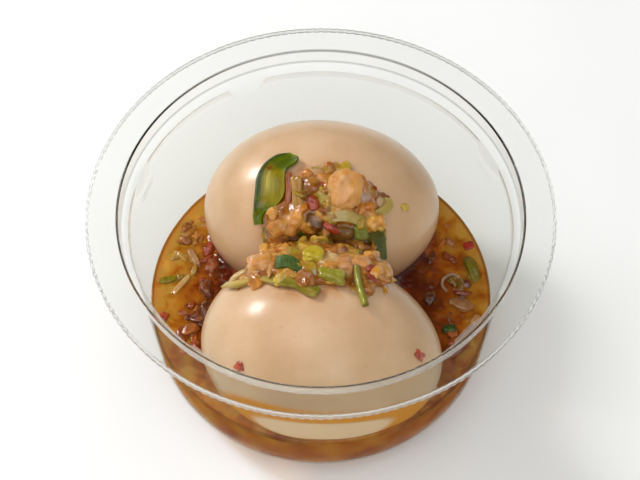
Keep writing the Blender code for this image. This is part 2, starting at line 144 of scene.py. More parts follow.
def softAbove(value):
    # the value where it is above zero and zero below, with a soft bend between
    excess = value / pressing["softness"]
    return pressing["softness"] * (math.log1p(math.exp(excess)) if excess < 30 else excess)


def wallRadius(height):
    return cup["ledgeRadius"] - (cup["ledgeHeight"] - height) * math.tan(math.radians(cup["draft"]))


def eggRadius(egg, along):
    share = along / egg["halfLength"]
    return egg["halfWidth"] * math.sqrt(max(0.0, 1 - share * share)) * (1 + egg["taper"] * share)


for egg in eggs:
    egg["turn"] = Matrix.Rotation(math.radians(egg["yaw"]), 3, "Z")
    egg["back"] = egg["turn"].transposed()


def eggSkin(egg, unit):
    # the skin's point in mm for a point of the unit sphere, flattened at the other egg and the wall
    across = egg["halfWidth"] * (1 + egg["taper"] * unit.x)
    local = Vector((egg["halfLength"] * unit.x, across * unit.y, across * unit.z))
    point = egg["turn"] @ local + Vector(egg["centre"])
    inner = pressing["contactY"] + egg["side"] * pressing["gap"] / 2
    y = inner + egg["side"] * softAbove(egg["side"] * (point.y - inner))
    reach = math.hypot(point.x, y)
    limit = wallRadius(point.z) - pressing["gap"]
    kept = limit - softAbove(limit - reach)
    return Vector((point.x * kept / reach, y * kept / reach, point.z))


def eggClearance(egg, x, y, z):
    # about how far a point in mm is outside the egg
    local = egg["back"] @ (Vector((x, y, z)) - Vector(egg["centre"]))
    if abs(local.x) >= egg["halfLength"]:
        return math.hypot(abs(local.x) - egg["halfLength"], math.hypot(local.y, local.z))
    return math.hypot(local.y, local.z) - eggRadius(egg, local.x)


def clearOfEggs(x, y, z):
    return min(eggClearance(egg, x, y, z) for egg in eggs)


def turned(angle, axis):
    return Matrix.Rotation(math.radians(angle), 4, axis)


def eggSpot(egg, along, angle, lift=0.0, turn=0.0):
    # A frame on the skin, in mm. The angle runs from the top to the front, X runs along the egg,
    # Y up and over to the back, and Z out of the skin.
    step = 0.05
    radius = eggRadius(egg, along)
    slope = (eggRadius(egg, along + step) - eggRadius(egg, along - step)) / (2 * step)
    lean = math.radians(angle)
    out = Vector((-slope, -math.sin(lean), math.cos(lean))).normalized()
    here = Vector((along, -radius * math.sin(lean), radius * math.cos(lean)))
    forth = Vector((1, -slope * math.sin(lean), slope * math.cos(lean))).normalized()
    axes = Matrix((forth, out.cross(forth), out)).transposed()
    spot = (egg["turn"] @ axes @ turned(turn, "Z").to_3x3()).to_4x4()
    spot.translation = egg["turn"] @ (here + out * lift) + Vector(egg["centre"])
    return spot


def newShape():
    # points in mm and faces, with each point's own colour and its place in the piece's own frame,
    # which the grain follows
    return {"points": [], "faces": [], "tints": [], "fibres": []}


def addPoint(shape, point, tint=None, fibre=None):
    shape["points"].append(tuple(part * mm for part in point))
    if tint:
        shape["tints"].extend(tint)
        shape["fibres"].extend(fibre)
    return len(shape["points"]) - 1


def addBands(shape, rows, around=False):
    # faces between rows of points, joined round where the rows are rings
    for near, far in zip(rows, rows[1:]):
        for index in range(len(near) if around else len(near) - 1):
            after = (index + 1) % len(near)
            shape["faces"].append((near[index], near[after], far[after], far[index]))


def makePiece(name, shape, material, replaced=()):
    # a shape becomes a smooth object that rides on the part
    mesh = bpy.data.meshes.new(name)
    mesh.from_pydata(shape["points"], shape.get("edges", []), shape["faces"])
    if shape["tints"]:
        mesh.color_attributes.new("tint", "FLOAT_COLOR", "POINT").data.foreach_set("color", shape["tints"])
        mesh.attributes.new("fibre", "FLOAT_VECTOR", "POINT").data.foreach_set("vector", shape["fibres"])
    if shape["faces"]:
        outward = bmesh.new()
        outward.from_mesh(mesh)
        bmesh.ops.recalc_face_normals(outward, faces=outward.faces)
        outward.to_mesh(mesh)
        outward.free()
    mesh.materials.append(material)
    mesh.shade_smooth()
    made = bpy.data.objects.new(name, mesh)
    bpy.context.scene.collection.objects.link(made)
    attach(made, "root")
    if replaced:
        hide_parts(*replaced)
    return made


def applyModifiers(made):
    graph = bpy.context.evaluated_depsgraph_get()
    mesh = bpy.data.meshes.new_from_object(made.evaluated_get(graph))
    made.modifiers.clear()
    made.data = mesh
    mesh.name = made.name
    mesh.shade_smooth()
    return made


balls = {}


def unitBall(detail):
    # points and faces of a ball, made once for each level of detail
    if detail not in balls:
        ball = bmesh.new()
        bmesh.ops.create_icosphere(ball, subdivisions=detail, radius=1.0)
        ball.verts.ensure_lookup_table()
        balls[detail] = (
            [vert.co.normalized() for vert in ball.verts],
            [tuple(vert.index for vert in face.verts) for face in ball.faces],
        )
        ball.free()
    return balls[detail]


def addChunk(shape, place, size, tint, square=2.0, rough=0.12, detail=3, bend=0.0, seed=0.0):
    # One chopped piece. square is 2 for a lump and 6 for a block with rounded edges.
    units, faces = unitBall(detail)
    offset = Vector((seed * 7.31, seed * 3.17, seed * 5.53))
    first = len(shape["points"])
    for unit in units:
        body = unit * sum(abs(part) ** square for part in unit) ** (-1 / square)
        uneven = 1 + rough * noise.noise(body * 1.1 + offset)
        uneven += 0.3 * rough * noise.noise(body * 2.8 + offset)
        local = Vector(part * uneven * length / 2 for part, length in zip(body, size))
        local.z += bend * ((local.x / (size[0] / 2)) ** 2 - 0.4)
        addPoint(shape, place @ local, tint, local + offset)
    shape["faces"].extend(tuple(first + index for index in face) for face in faces)


def addHoop(shape, place, outer, wall, height, start, sweep, tint, seed=0.0, steps=40, sides=10):
    # a ring or part of one, cut from an onion or a scallion
    offset = Vector((seed * 7.31, seed * 3.17, seed * 5.53))
    rows = []
    for step in range(steps + 1):
        turn = math.radians(start + sweep * step / steps)
        wobble = 1 + 0.08 * noise.noise(Vector((math.cos(turn), math.sin(turn), seed)) * 1.3)
        row = []
        for side in range(sides):
            around = 2 * math.pi * side / sides
            squared = (abs(math.cos(around)) ** 4 + abs(math.sin(around)) ** 4) ** -0.25
            out = outer * wobble - wall / 2 + wall / 2 * squared * math.cos(around)
            local = Vector((out * math.cos(turn), out * math.sin(turn),
                            height / 2 * squared * math.sin(around)))
            row.append(addPoint(shape, place @ local, tint, Vector((local.z, out * turn, out)) + offset))
        rows.append(row)
    addBands(shape, rows, True)
    shape["faces"] += [tuple(rows[0]), tuple(rows[-1])]


# Materials

def foodMaterial(name, look):
    # Wet cut vegetable: a translucent body that takes its colour from tint, a grain along fibre,
    # and a thin film of marinade that gives the sharp glints.
    material, tree, output = newMaterial(name)
    tint = addNode(tree, "ShaderNodeAttribute", attribute_name="tint")
    fibre = addNode(tree, "ShaderNodeAttribute", attribute_name="fibre").outputs["Vector"]
    stretched = addNode(tree, "ShaderNodeMapping", {"Scale": tuple(1 / length for length in look["grain"])},
                        {"Vector": fibre})
    grain = addNode(tree, "ShaderNodeTexNoise", {"Scale": 1.0, "Detail": 4.0, "Roughness": 0.6},
                    {"Vector": stretched})
    blotch = addNode(tree, "ShaderNodeTexNoise",
                     {"Scale": 1 / look["blotch"], "Detail": 3.0, "Roughness": 0.55}, {"Vector": fibre})
    lines = addNode(tree, "ShaderNodeMapRange",
                    {"From Min": 0.42, "From Max": 0.66, "To Max": look["grainDepth"]}, {"Value": grain})
    darker = addNode(tree, "ShaderNodeMix", {"B": hexColour(look["deep"])},
                     {"A": tint, "Factor": lines}, data_type="RGBA", blend_type="MULTIPLY")
    spots = addNode(tree, "ShaderNodeMapRange",
                    {"From Min": 0.5, "From Max": 0.72, "To Max": look["blotchDepth"]}, {"Value": blotch})
    paler = addNode(tree, "ShaderNodeMix", {"B": hexColour(look["pale"])},
                    {"A": darker, "Factor": spots}, data_type="RGBA")
    film = addNode(tree, "ShaderNodeBump", {"Strength": 0.7, "Distance": look["relief"] * mm},
                   {"Height": grain})
    drops = addNode(tree, "ShaderNodeTexNoise", {"Scale": 1 / 1.6, "Detail": 1.0}, {"Vector": fibre})
    wet = addNode(tree, "ShaderNodeBump", {"Strength": 0.6, "Distance": 0.15 * mm}, {"Height": drops})
    body = addNode(tree, "ShaderNodeBsdfPrincipled", {
        "Roughness": look["roughness"], "IOR": 1.4, "Specular IOR Level": 0.15,
        "Subsurface Weight": look["translucency"], "Subsurface Radius": look["glow"],
        "Subsurface Scale": look["glowDepth"] * mm, "Transmission Weight": look["clear"],
        "Coat Weight": look["film"], "Coat Roughness": 0.05, "Coat IOR": 1.47,
    }, {"Base Color": paler, "Normal": film, "Coat Normal": wet})
    tree.links.new(body.outputs["BSDF"], output.inputs["Surface"])
    return material


# Scallion leaf, cut raw and wetted: a waxy tube wall with veins 0.5 mm apart along it, so the
# eye sees fine lengthwise lines under a gloss.
leafSkin = foodMaterial("Scallion leaf, cut and wet", {
    "grain": (0.5, 6.0, 0.8), "grainDepth": 0.5, "deep": "#8A9238", "blotch": 2.2, "pale": "#8E9A1E",
    "blotchDepth": 0.3, "relief": 0.12, "roughness": 0.3, "translucency": 0.25, "glow": (0.5, 1.0, 0.2),
    "glowDepth": 0.6, "film": 0.5, "clear": 0.0,
})

# Scallion stem, steeped: pale yellow-green, stringy, and see-through at its edges.
stemFlesh = foodMaterial("Scallion stem, steeped", {
    "grain": (0.45, 5.0, 0.7), "grainDepth": 0.4, "deep": "#B8A860", "blotch": 2.6, "pale": "#E2D48A",
    "blotchDepth": 0.35, "relief": 0.12, "roughness": 0.3, "translucency": 0.5, "glow": (1.0, 0.9, 0.3),
    "glowDepth": 1.2, "film": 0.9, "clear": 0.2,
})

# White onion, diced and steeped: soaked cells stained amber, translucent, with its layers
# showing as faint lines 0.8 mm apart.
onion = foodMaterial("White onion, diced and steeped", {
    "grain": (0.8, 4.0, 3.0), "grainDepth": 0.3, "deep": "#C98F52", "blotch": 2.4, "pale": "#F0CFA0",
    "blotchDepth": 0.4, "relief": 0.14, "roughness": 0.28, "translucency": 0.7,
    "glow": (1.0, 0.55, 0.25), "glowDepth": 1.8, "film": 1.0, "clear": 0.2,
})

# Red chilli, chopped: a thin tough skin, deep red where it is thick and orange at torn edges.
chilli = foodMaterial("Red chilli, chopped", {
    "grain": (0.9, 1.6, 0.9), "grainDepth": 0.55, "deep": "#7A2A18", "blotch": 1.2, "pale": "#D8603A",
    "blotchDepth": 0.35, "relief": 0.1, "roughness": 0.25, "translucency": 0.3, "glow": (1.0, 0.2, 0.1),
    "glowDepth": 0.8, "film": 1.0, "clear": 0.1,
})

# Garlic, ginger and onion, minced fine and soaked brown in soy: soft grains under a glaze.
mince = foodMaterial("Minced aromatics, soy soaked", {
    "grain": (0.7, 1.1, 0.9), "grainDepth": 0.55, "deep": "#8A5A30", "blotch": 1.4, "pale": "#D9A468",
    "blotchDepth": 0.4, "relief": 0.16, "roughness": 0.3, "translucency": 0.45,
    "glow": (1.0, 0.45, 0.2), "glowDepth": 1.2, "film": 1.0, "clear": 0.1,
})


def eggWhiteStained():
    # Hen's egg white, boiled, peeled and steeped in soy: a dense satin gel stained tan from the
    # outside, darker in slow clouds, with the fine pits that the shell's membrane leaves.
    material, tree, output = newMaterial("Boiled egg white, soy stained")
    here = addNode(tree, "ShaderNodeTexCoord").outputs["Object"]
    cloud = addNode(tree, "ShaderNodeTexNoise", {"Scale": 1 / (14 * mm), "Detail": 5.0, "Roughness": 0.55},
                    {"Vector": here})
    stain = addRamp(tree, cloud, [(0.3, "#CAA27A"), (0.5, "#D4AE87"), (0.7, "#DCB994")])
    fleck = addNode(tree, "ShaderNodeTexNoise", {"Scale": 1 / (1.1 * mm), "Detail": 2.0},
                    {"Vector": here})
    fleckMask = addNode(tree, "ShaderNodeMapRange", {"From Min": 0.68, "From Max": 0.78, "To Max": 0.35},
                        {"Value": fleck})
    flecked = addNode(tree, "ShaderNodeMix", {"B": hexColour("#B98A60")},
                      {"A": stain, "Factor": fleckMask}, data_type="RGBA")
    # Sauce has run down from the topping and left an amber wash round it.
    washes = []
    for centre, reach in (((-1.0, 6.5, 38.0), 15.0), ((-2.0, -8.5, 38.0), 15.5)):
        away = addNode(tree, "ShaderNodeVectorMath", {1: tuple(value * mm for value in centre)},
                       {0: here}, operation="DISTANCE")
        near = addNode(tree, "ShaderNodeMapRange",
                       {"From Min": reach * mm, "From Max": reach * 0.55 * mm},
                       {"Value": away}, interpolation_type="SMOOTHSTEP")
        washes.append(near)
    wash = addNode(tree, "ShaderNodeMath", links={0: washes[0], 1: washes[1]}, operation="MAXIMUM")
    streak = addNode(tree, "ShaderNodeTexNoise", {"Scale": 1 / (5 * mm), "Detail": 4.0, "Distortion": 0.6},
                     {"Vector": here})
    streakMask = addNode(tree, "ShaderNodeMapRange", {"From Min": 0.36, "From Max": 0.58},
                         {"Value": streak}, interpolation_type="SMOOTHSTEP")
    # Marinade is also held in the narrow gap round the spot where the front egg meets the wall.
    offset = addNode(tree, "ShaderNodeVectorMath", {1: (0.0, -39.7 * mm, 22.5 * mm)}, {0: here},
                     operation="SUBTRACT")
    oval = addNode(tree, "ShaderNodeVectorMath", {1: (1 / (21 * mm), 1 / (8 * mm), 1 / (6 * mm))},
                   {0: offset}, operation="MULTIPLY")
    away = addNode(tree, "ShaderNodeVectorMath", links={0: oval}, operation="LENGTH")
    inner = addNode(tree, "ShaderNodeMapRange", {"From Min": 0.78, "From Max": 1.0}, {"Value": away},
                    interpolation_type="SMOOTHSTEP")
    outer = addNode(tree, "ShaderNodeMapRange", {"From Min": 1.75, "From Max": 1.45}, {"Value": away},
                    interpolation_type="SMOOTHSTEP")
    ring = addNode(tree, "ShaderNodeMath", links={0: inner, 1: outer}, operation="MULTIPLY")
    patchy = addNode(tree, "ShaderNodeMath", links={0: wash, 1: streakMask}, operation="MULTIPLY")
    washed = addNode(tree, "ShaderNodeMix", {"B": hexColour("#B46A1C")},
                     {"A": flecked, "Factor": patchy}, data_type="RGBA")
    # painted light: where the front egg touches the wall its skin is painted paler, standing in for the
    # light that reaches it through the wall
    contact = addNode(tree, "ShaderNodeMapRange", {"From Min": 1.0, "From Max": 0.8, "To Max": 0.85},
                      {"Value": away})
    paintedLightPatch = addNode(tree, "ShaderNodeMix", {"B": hexColour("#F2CEA6")},
                      {"A": washed, "Factor": contact}, data_type="RGBA")
    held = addNode(tree, "ShaderNodeMix", {"B": hexColour("#DC8E22")},
                   {"A": paintedLightPatch, "Factor": ring}, data_type="RGBA")
    gloss = addNode(tree, "ShaderNodeMapRange", {"To Min": 0.36, "To Max": 0.14}, {"Value": patchy})
    # there is no air against the skin where the marinade fills that gap, so it does not shine
    coat = addNode(tree, "ShaderNodeMapRange", {"To Min": 0.6, "To Max": 0.0}, {"Value": outer})
    shine = addNode(tree, "ShaderNodeMapRange", {"To Min": 0.5, "To Max": 0.02}, {"Value": outer})
    pits = addNode(tree, "ShaderNodeTexNoise", {"Scale": 1 / (0.9 * mm), "Detail": 3.0}, {"Vector": here})
    dimple = addNode(tree, "ShaderNodeBump", {"Strength": 0.35, "Distance": 0.05 * mm}, {"Height": pits})
    slow = addNode(tree, "ShaderNodeBump", {"Strength": 0.4, "Distance": 0.5 * mm},
                   {"Height": cloud, "Normal": dimple})
    body = addNode(tree, "ShaderNodeBsdfPrincipled", {
        "IOR": 1.38, "Subsurface Weight": 0.35, "Subsurface Radius": (1.0, 0.6, 0.4),
        "Subsurface Scale": 2.0 * mm, "Coat Roughness": 0.19, "Coat IOR": 1.36,
    }, {
        "Base Color": held, "Roughness": gloss, "Normal": slow,
        "Coat Weight": coat, "Specular IOR Level": shine,
    })
    tree.links.new(body.outputs["BSDF"], output.inputs["Surface"])
    return material


def throughForLamps(tree, wet, through, output, thin=None):
    # Lamp light and soft light pass straight through, so what is behind stays lit. thin gives the
    # share of the view that a thin sheet lets straight through.
    path = addNode(tree, "ShaderNodeLightPath")
    straight = addNode(tree, "ShaderNodeMath", operation="MAXIMUM",
                       links={0: path.outputs["Is Shadow Ray"], 1: path.outputs["Is Diffuse Ray"]})
    share = addNode(tree, "ShaderNodeMath", {1: 0.0}, {0: straight, 1: thin} if thin else {0: straight},
                    operation="MAXIMUM")
    mixed = addNode(tree, "ShaderNodeMixShader", links={0: share, 1: wet, 2: through})
    tree.links.new(mixed.outputs["Shader"], output.inputs["Surface"])


def clearPet():
    # PET sheet, thermoformed: water clear and glossy, with faint draw lines 2 mm apart down the
    # wall, so that only its bends and edges show as thin grey lines. At the two folds of the lid seat
    # the grey is painted shade.
    material, tree, output = newMaterial("Clear PET, thermoformed")
    here = addNode(tree, "ShaderNodeTexCoord").outputs["Object"]
    drawn = addNode(tree, "ShaderNodeMapping", {"Scale": (1.0, 1.0, 0.15)}, {"Vector": here})
    flow = addNode(tree, "ShaderNodeTexNoise", {"Scale": 1 / (2.0 * mm), "Detail": 2.0}, {"Vector": drawn})
    drawLines = addNode(tree, "ShaderNodeBump", {"Strength": 0.15, "Distance": 0.02 * mm}, {"Height": flow})
    # painted shade: the two folds of the lid seat are painted grey, standing in for the light that they
    # turn away
    flat = addNode(tree, "ShaderNodeVectorMath", {1: (1.0, 1.0, 0.0)}, {0: here}, operation="MULTIPLY")
    reach = addNode(tree, "ShaderNodeVectorMath", links={0: flat}, operation="LENGTH")
    parts = addNode(tree, "ShaderNodeSeparateXYZ", links={0: here})
    section = addNode(tree, "ShaderNodeCombineXYZ", links={"X": reach, "Z": parts.outputs["Z"]})
    # the painted shade of the folds is weaker at the back, where the light comes from
    back = addNode(tree, "ShaderNodeMapRange", {"From Min": -30 * mm, "From Max": 10 * mm, "To Min": 0.3},
                   {"Value": parts.outputs["Y"]})
    folds = []
    for radius, height, width, depth in ((43.65, 52.3, 0.5, 1.0), (43.3, 49.0, 0.45, 0.75)):
        away = addNode(tree, "ShaderNodeVectorMath", {1: (radius * mm, 0.0, height * mm)},
                       {0: section}, operation="DISTANCE")
        near = addNode(tree, "ShaderNodeMapRange",
                       {"From Min": width * mm, "From Max": width * 0.3 * mm, "To Max": depth},
                       {"Value": away}, interpolation_type="SMOOTHSTEP")
        folds.append(near)
    paintedFoldShade = addNode(tree, "ShaderNodeMath", links={0: folds[0], 1: folds[1]}, operation="MAXIMUM")
    dark = addNode(tree, "ShaderNodeMath", links={0: paintedFoldShade, 1: back}, operation="MULTIPLY")
    tone = addNode(tree, "ShaderNodeMix", {"A": hexColour("#F8F9F7"), "B": hexColour("#8A8A88")},
                   {"Factor": dark}, data_type="RGBA")
    # the knurled edge is scuffed a little by its mould
    scuff = addNode(tree, "ShaderNodeMapRange",
                    {"From Min": 49.6 * mm, "From Max": 50.0 * mm, "To Min": 0.02, "To Max": 0.3},
                    {"Value": reach})
    sheet = addNode(tree, "ShaderNodeBsdfPrincipled", {
        "IOR": 1.57, "Transmission Weight": 1.0, "Specular Tint": (0.2, 0.2, 0.2, 1.0),
    }, {"Base Color": tone, "Normal": drawLines, "Roughness": scuff})
    # the drawn wall is so thin that it hardly bends the view, and the rim is thicker
    thin = addNode(tree, "ShaderNodeMapRange",
                   {"From Min": 45 * mm, "From Max": 48.5 * mm, "To Min": 0.965, "To Max": 0.0},
                   {"Value": parts.outputs["Z"]})
    through = addNode(tree, "ShaderNodeBsdfTransparent", links={"Color": tone})
    throughForLamps(tree, sheet, through, output, thin)
    # seen edge on, the sheet turns grey
    grey = addNode(tree, "ShaderNodeVolumeAbsorption", {"Color": (0.5, 0.51, 0.5, 1.0), "Density": 50.0})
    tree.links.new(grey.outputs["Volume"], output.inputs["Volume"])
    return material


def marinadeLiquid():
    # Soy and chilli marinade, strained but cloudy with fine solids. Its colour is painted bright amber
    # where it is shallow at the wall and red-brown beside the eggs, for the depth there and also as painted
    # shade from the eggs.
    material, tree, output = newMaterial("Soy and chilli marinade")
    here = addNode(tree, "ShaderNodeTexCoord").outputs["Object"]
    swirl = addNode(tree, "ShaderNodeTexNoise", {"Scale": 1 / (3.5 * mm), "Detail": 3.0, "Distortion": 0.5},
                    {"Vector": here})
    slow = addNode(tree, "ShaderNodeBump", {"Strength": 0.45, "Distance": 0.3 * mm}, {"Height": swirl})
    lumps = addNode(tree, "ShaderNodeTexNoise", {"Scale": 1 / (2.6 * mm), "Detail": 1.0}, {"Vector": here})
    # painted light and shade: amber where the liquid thins out at the wall, red-brown where it is deep
    # beside the eggs, darker there partly for the depth and partly as painted shade from the eggs
    flat = addNode(tree, "ShaderNodeVectorMath", {1: (1.0, 1.0, 0.0)}, {0: here}, operation="MULTIPLY")
    reach = addNode(tree, "ShaderNodeVectorMath", links={0: flat}, operation="LENGTH")
    shallow = addNode(tree, "ShaderNodeMapRange", {"From Min": 23 * mm, "From Max": 38.9 * mm},
                      {"Value": reach})
    # painted light: the liquid is painted lighter towards the left and the back, where the light comes from
    lean = addNode(tree, "ShaderNodeVectorMath", {1: (-2.5, 6.0, 0.0)}, {0: here}, operation="DOT_PRODUCT")
    shallowAndLit = addNode(tree, "ShaderNodeMath", links={0: shallow, 1: lean}, operation="ADD")
    stirred = addNode(tree, "ShaderNodeMapRange",
                      {"From Min": 0.3, "From Max": 0.7, "To Min": -0.36, "To Max": 0.3},
                      {"Value": swirl})
    depth = addNode(tree, "ShaderNodeMath", links={0: shallowAndLit, 1: stirred}, operation="ADD", use_clamp=True)
    cloudy = addRamp(tree, depth, [(0.05, "#641E04"), (0.3, "#A4460A"), (0.56, "#D28020"),
                                   (0.82, "#ECAC3C"), (1.0, "#F8C45A")])
    crowded = addNode(tree, "ShaderNodeMapRange", {"From Min": 0.72, "From Max": 0.35, "To Max": 1.0},
                      {"Value": depth})
    wavy = addNode(tree, "ShaderNodeBump", {"Distance": 0.9 * mm},
                   {"Height": lumps, "Strength": crowded, "Normal": slow})
    # painted shade: a dark line is painted where the liquid's top meets the wall, at the meniscus
    rim = addNode(tree, "ShaderNodeMapRange", {"From Min": 38.4 * mm, "From Max": 38.9 * mm, "To Max": 0.6},
                  {"Value": reach}, interpolation_type="SMOOTHSTEP")
    split = addNode(tree, "ShaderNodeSeparateXYZ", links={0: here})
    atTop = addNode(tree, "ShaderNodeMapRange", {"From Min": 16.9 * mm, "From Max": 17.3 * mm},
                    {"Value": split.outputs["Z"]})
    meniscusShade = addNode(tree, "ShaderNodeMath", links={0: rim, 1: atTop}, operation="MULTIPLY")
    # from the side the liquid is deep, so it is browner there, with red-brown sediment in clouds
    silt = addNode(tree, "ShaderNodeTexNoise", {"Scale": 1 / (8 * mm), "Detail": 4.0, "Roughness": 0.45},
                   {"Vector": here})
    deep = addRamp(tree, silt, [(0.3, "#A44C0E"), (0.5, "#C47220"), (0.7, "#D8942E")])
    body = addNode(tree, "ShaderNodeMix", links={"A": deep, "B": cloudy, "Factor": atTop}, data_type="RGBA")
    edged = addNode(tree, "ShaderNodeMix", {"B": hexColour("#6A3410")},
                    {"A": body, "Factor": meniscusShade}, data_type="RGBA")
    shine = addNode(tree, "ShaderNodeMapRange",
                    {"From Min": 16.4 * mm, "From Max": 17.0 * mm, "To Min": 0.05, "To Max": 0.5},
                    {"Value": split.outputs["Z"]})
    liquid = addNode(tree, "ShaderNodeBsdfPrincipled", {
        "Roughness": 0.03, "IOR": 1.36, "Transmission Weight": 0.48, "Subsurface Weight": 1.0,
        "Subsurface Radius": (1.0, 0.4, 0.12), "Subsurface Scale": 3.0 * mm,
    }, {"Base Color": edged, "Normal": wavy, "Specular IOR Level": shine})
    through = addNode(tree, "ShaderNodeBsdfTransparent", {"Color": hexColour("#F6E4C8")})
    throughForLamps(tree, liquid, through, output)
    swallowed = addNode(tree, "ShaderNodeVolumeAbsorption",
                        {"Color": (0.78, 0.42, 0.05, 1.0), "Density": 60.0})
    tree.links.new(swallowed.outputs["Volume"], output.inputs["Volume"])
    return material


# Thick sauce that binds the chopped topping: brown amber, smooth and very glossy.
sauce = foodMaterial("Sauce with fine mince", {
    "grain": (1.2, 1.2, 1.2), "grainDepth": 0.35, "deep": "#A0601C", "blotch": 2.8, "pale": "#D89A44",
    "blotchDepth": 0.25, "relief": 0.25, "roughness": 0.24, "translucency": 0.7,
    "glow": (1.0, 0.42, 0.1), "glowDepth": 2.0, "film": 1.0, "clear": 0.15,
})


def paleFloor():
    # Matte paper sweep, with a soft mottle 30 mm across that hardly shows.
    material, tree, output = newMaterial("Matte paper sweep")
    here = addNode(tree, "ShaderNodeTexCoord").outputs["Object"]
    mottle = addNode(tree, "ShaderNodeTexNoise", {"Scale": 1 / (30 * mm), "Detail": 2.0}, {"Vector": here})
    tone = addRamp(tree, mottle, [(0.3, "#FAFAF9"), (0.7, "#FCFCFB")])
    paper = addNode(tree, "ShaderNodeBsdfPrincipled", {"Roughness": 0.8}, {"Base Color": tone})
    tree.links.new(paper.outputs["BSDF"], output.inputs["Surface"])
    return material


eggWhite = eggWhiteStained()
print("food materials made")


# Clear cup

def roundedPath(points, steps):
    # Each point is (radius, height, rounding). A rounded corner becomes a short arc.
    path = [Vector(points[0][:2])]
    for before, here, after in zip(points, points[1:], points[2:]):
        corner, rounding = Vector(here[:2]), here[2]
        back, forth = (Vector(before[:2]) - corner), (Vector(after[:2]) - corner)
        if rounding <= 0:
            path.append(corner)
            continue
        half = back.angle(forth) / 2
        cutBack = min(rounding / math.tan(half), back.length * 0.48, forth.length * 0.48)
        first, last = corner + back.normalized() * cutBack, corner + forth.normalized() * cutBack
        for step in range(steps + 1):
            t = step / steps
            path.append(first * (1 - t) ** 2 + corner * 2 * t * (1 - t) + last * t * t)
    path.append(Vector(points[-1][:2]))
    return path


def cornerArc(inset, steps):
    # the rounded foot of the wall, in mm, from the drafted wall to the floor
    draft = math.radians(cup["draft"])
    middleHeight = cup["wall"] + cup["cornerRadius"]
    middleRadius = wallRadius(middleHeight) - cup["cornerRadius"] / math.cos(draft)
    reach = cup["cornerRadius"] - inset
    turns = [draft + (math.pi / 2 - draft) * step / steps for step in range(steps + 1)]
    return [(middleRadius + reach * math.cos(turn),
             middleHeight - reach * math.sin(turn)) for turn in turns]


def baseFloor(inset):
    ring, rise = cup["recessRadius"], cup["recessRise"]
    return [
        (ring + inset, cup["wall"] + inset),
        (ring - rise + inset, cup["wall"] + rise + inset),
        (0.0, cup["wall"] + rise + inset),
    ]


def lugPush(around, height):
    # how far a stacking lug pushes the wall inwards at this place
    off = min(abs((around - angle + 180) % 360 - 180) for angle in cup["lugAngles"])
    across = 1 - smoothStep(cup["lugFace"], cup["lugFoot"], off)
    above = 1 - smoothStep(cup["lugTop"], cup["ledgeHeight"], height)
    below = smoothStep(cup["lugBottom"] - cup["lugFade"], cup["lugBottom"], height)
    return cup["lugDepth"] * across * above * below


def makeCup():
    lip = cup["lipRound"]
    top = roundedPath([
        (cup["rimRadius"], cup["height"] - cup["lipDrop"], 0),
        (cup["rimRadius"], cup["height"], lip),
        (cup["rimRadius"] - cup["lipWidth"], cup["height"], 0),
        (cup["flangeRadius"], cup["height"], cup["mouthRound"]),
        (cup["flangeRadius"] - cup["plugDraft"], cup["height"] - cup["plugDepth"], cup["plugRound"]),
        (cup["ledgeRadius"], cup["ledgeHeight"], cup["ledgeRound"]),
        (wallRadius(cup["lugTop"]), cup["lugTop"], 0),
    ], cup["edgeSteps"])
    low = cup["lugBottom"] - cup["lugFade"]
    rows = cup["wallRows"]
    drop = [cup["lugTop"] - (cup["lugTop"] - low) * row / rows for row in range(1, rows + 1)]
    profile = [tuple(point) for point in top] + [(wallRadius(height), height) for height in drop]
    profile += cornerArc(0.0, cup["cornerSteps"]) + baseFloor(0.0)
    shape = newShape()
    for radius, height in profile:
        addPoint(shape, (radius, 0, height))
    shape["edges"] = [(index, index + 1) for index in range(len(profile) - 1)]
    made = makePiece("clearCup", shape, clearPet(), ["cup"])
    turn = made.modifiers.new("Turn", "SCREW")
    turn.steps = turn.render_steps = cup["knurls"] * cup["sidesPerKnurl"]
    turn.use_merge_vertices = True
    turn.merge_threshold = 0.00001
    applyModifiers(made)
    for vert in made.data.vertices:
        x, y, height = vert.co.x / mm, vert.co.y / mm, vert.co.z / mm
        reach = math.hypot(x, y)
        if reach < 1:
            continue
        around = math.degrees(math.atan2(y, x))
        push = lugPush(around, height) if height < cup["ledgeHeight"] else 0.0
        beads = smoothStep(cup["rimRadius"] - cup["knurlStart"], cup["rimRadius"] - cup["knurlFull"], reach)
        push += cup["knurlDepth"] * beads * (0.5 - 0.5 * math.cos(math.radians(around * cup["knurls"])))
        vert.co.x, vert.co.y = vert.co.x * (reach - push) / reach, vert.co.y * (reach - push) / reach
    shell = made.modifiers.new("Wall", "SOLIDIFY")
    shell.thickness = cup["wall"] * mm
    shell.offset = 1.0
    shell.use_even_offset = True
    return applyModifiers(made)


clearCup = makeCup()
print("cup made:", len(clearCup.data.polygons), "faces")


# Eggs

def makeEgg(name, egg, node):
    shape = newShape()
    units, faces = unitBall(7)
    for unit in units:
        skin = eggSkin(egg, unit)
        addPoint(shape, skin + unit * 0.12 * noise.noise(skin / 11.0))
    shape["faces"] = list(faces)
    return makePiece(name, shape, eggWhite, [node])


makeEgg("rearEggWhite", rearEgg, "egg_rear")
makeEgg("frontEggWhite", frontEgg, "egg_front")
print("eggs made")


# Marinade

marinade = {
    "level": 17.2, "intoWall": 0.2, "sides": 256, "rings": 110, "cornerSteps": 10,
    "wallRise": 0.9, "eggRise": 1.3, "riseReach": 1.1, "mostRise": 1.8, "ripple": 0.1, "rippleSize": 4.0,
}

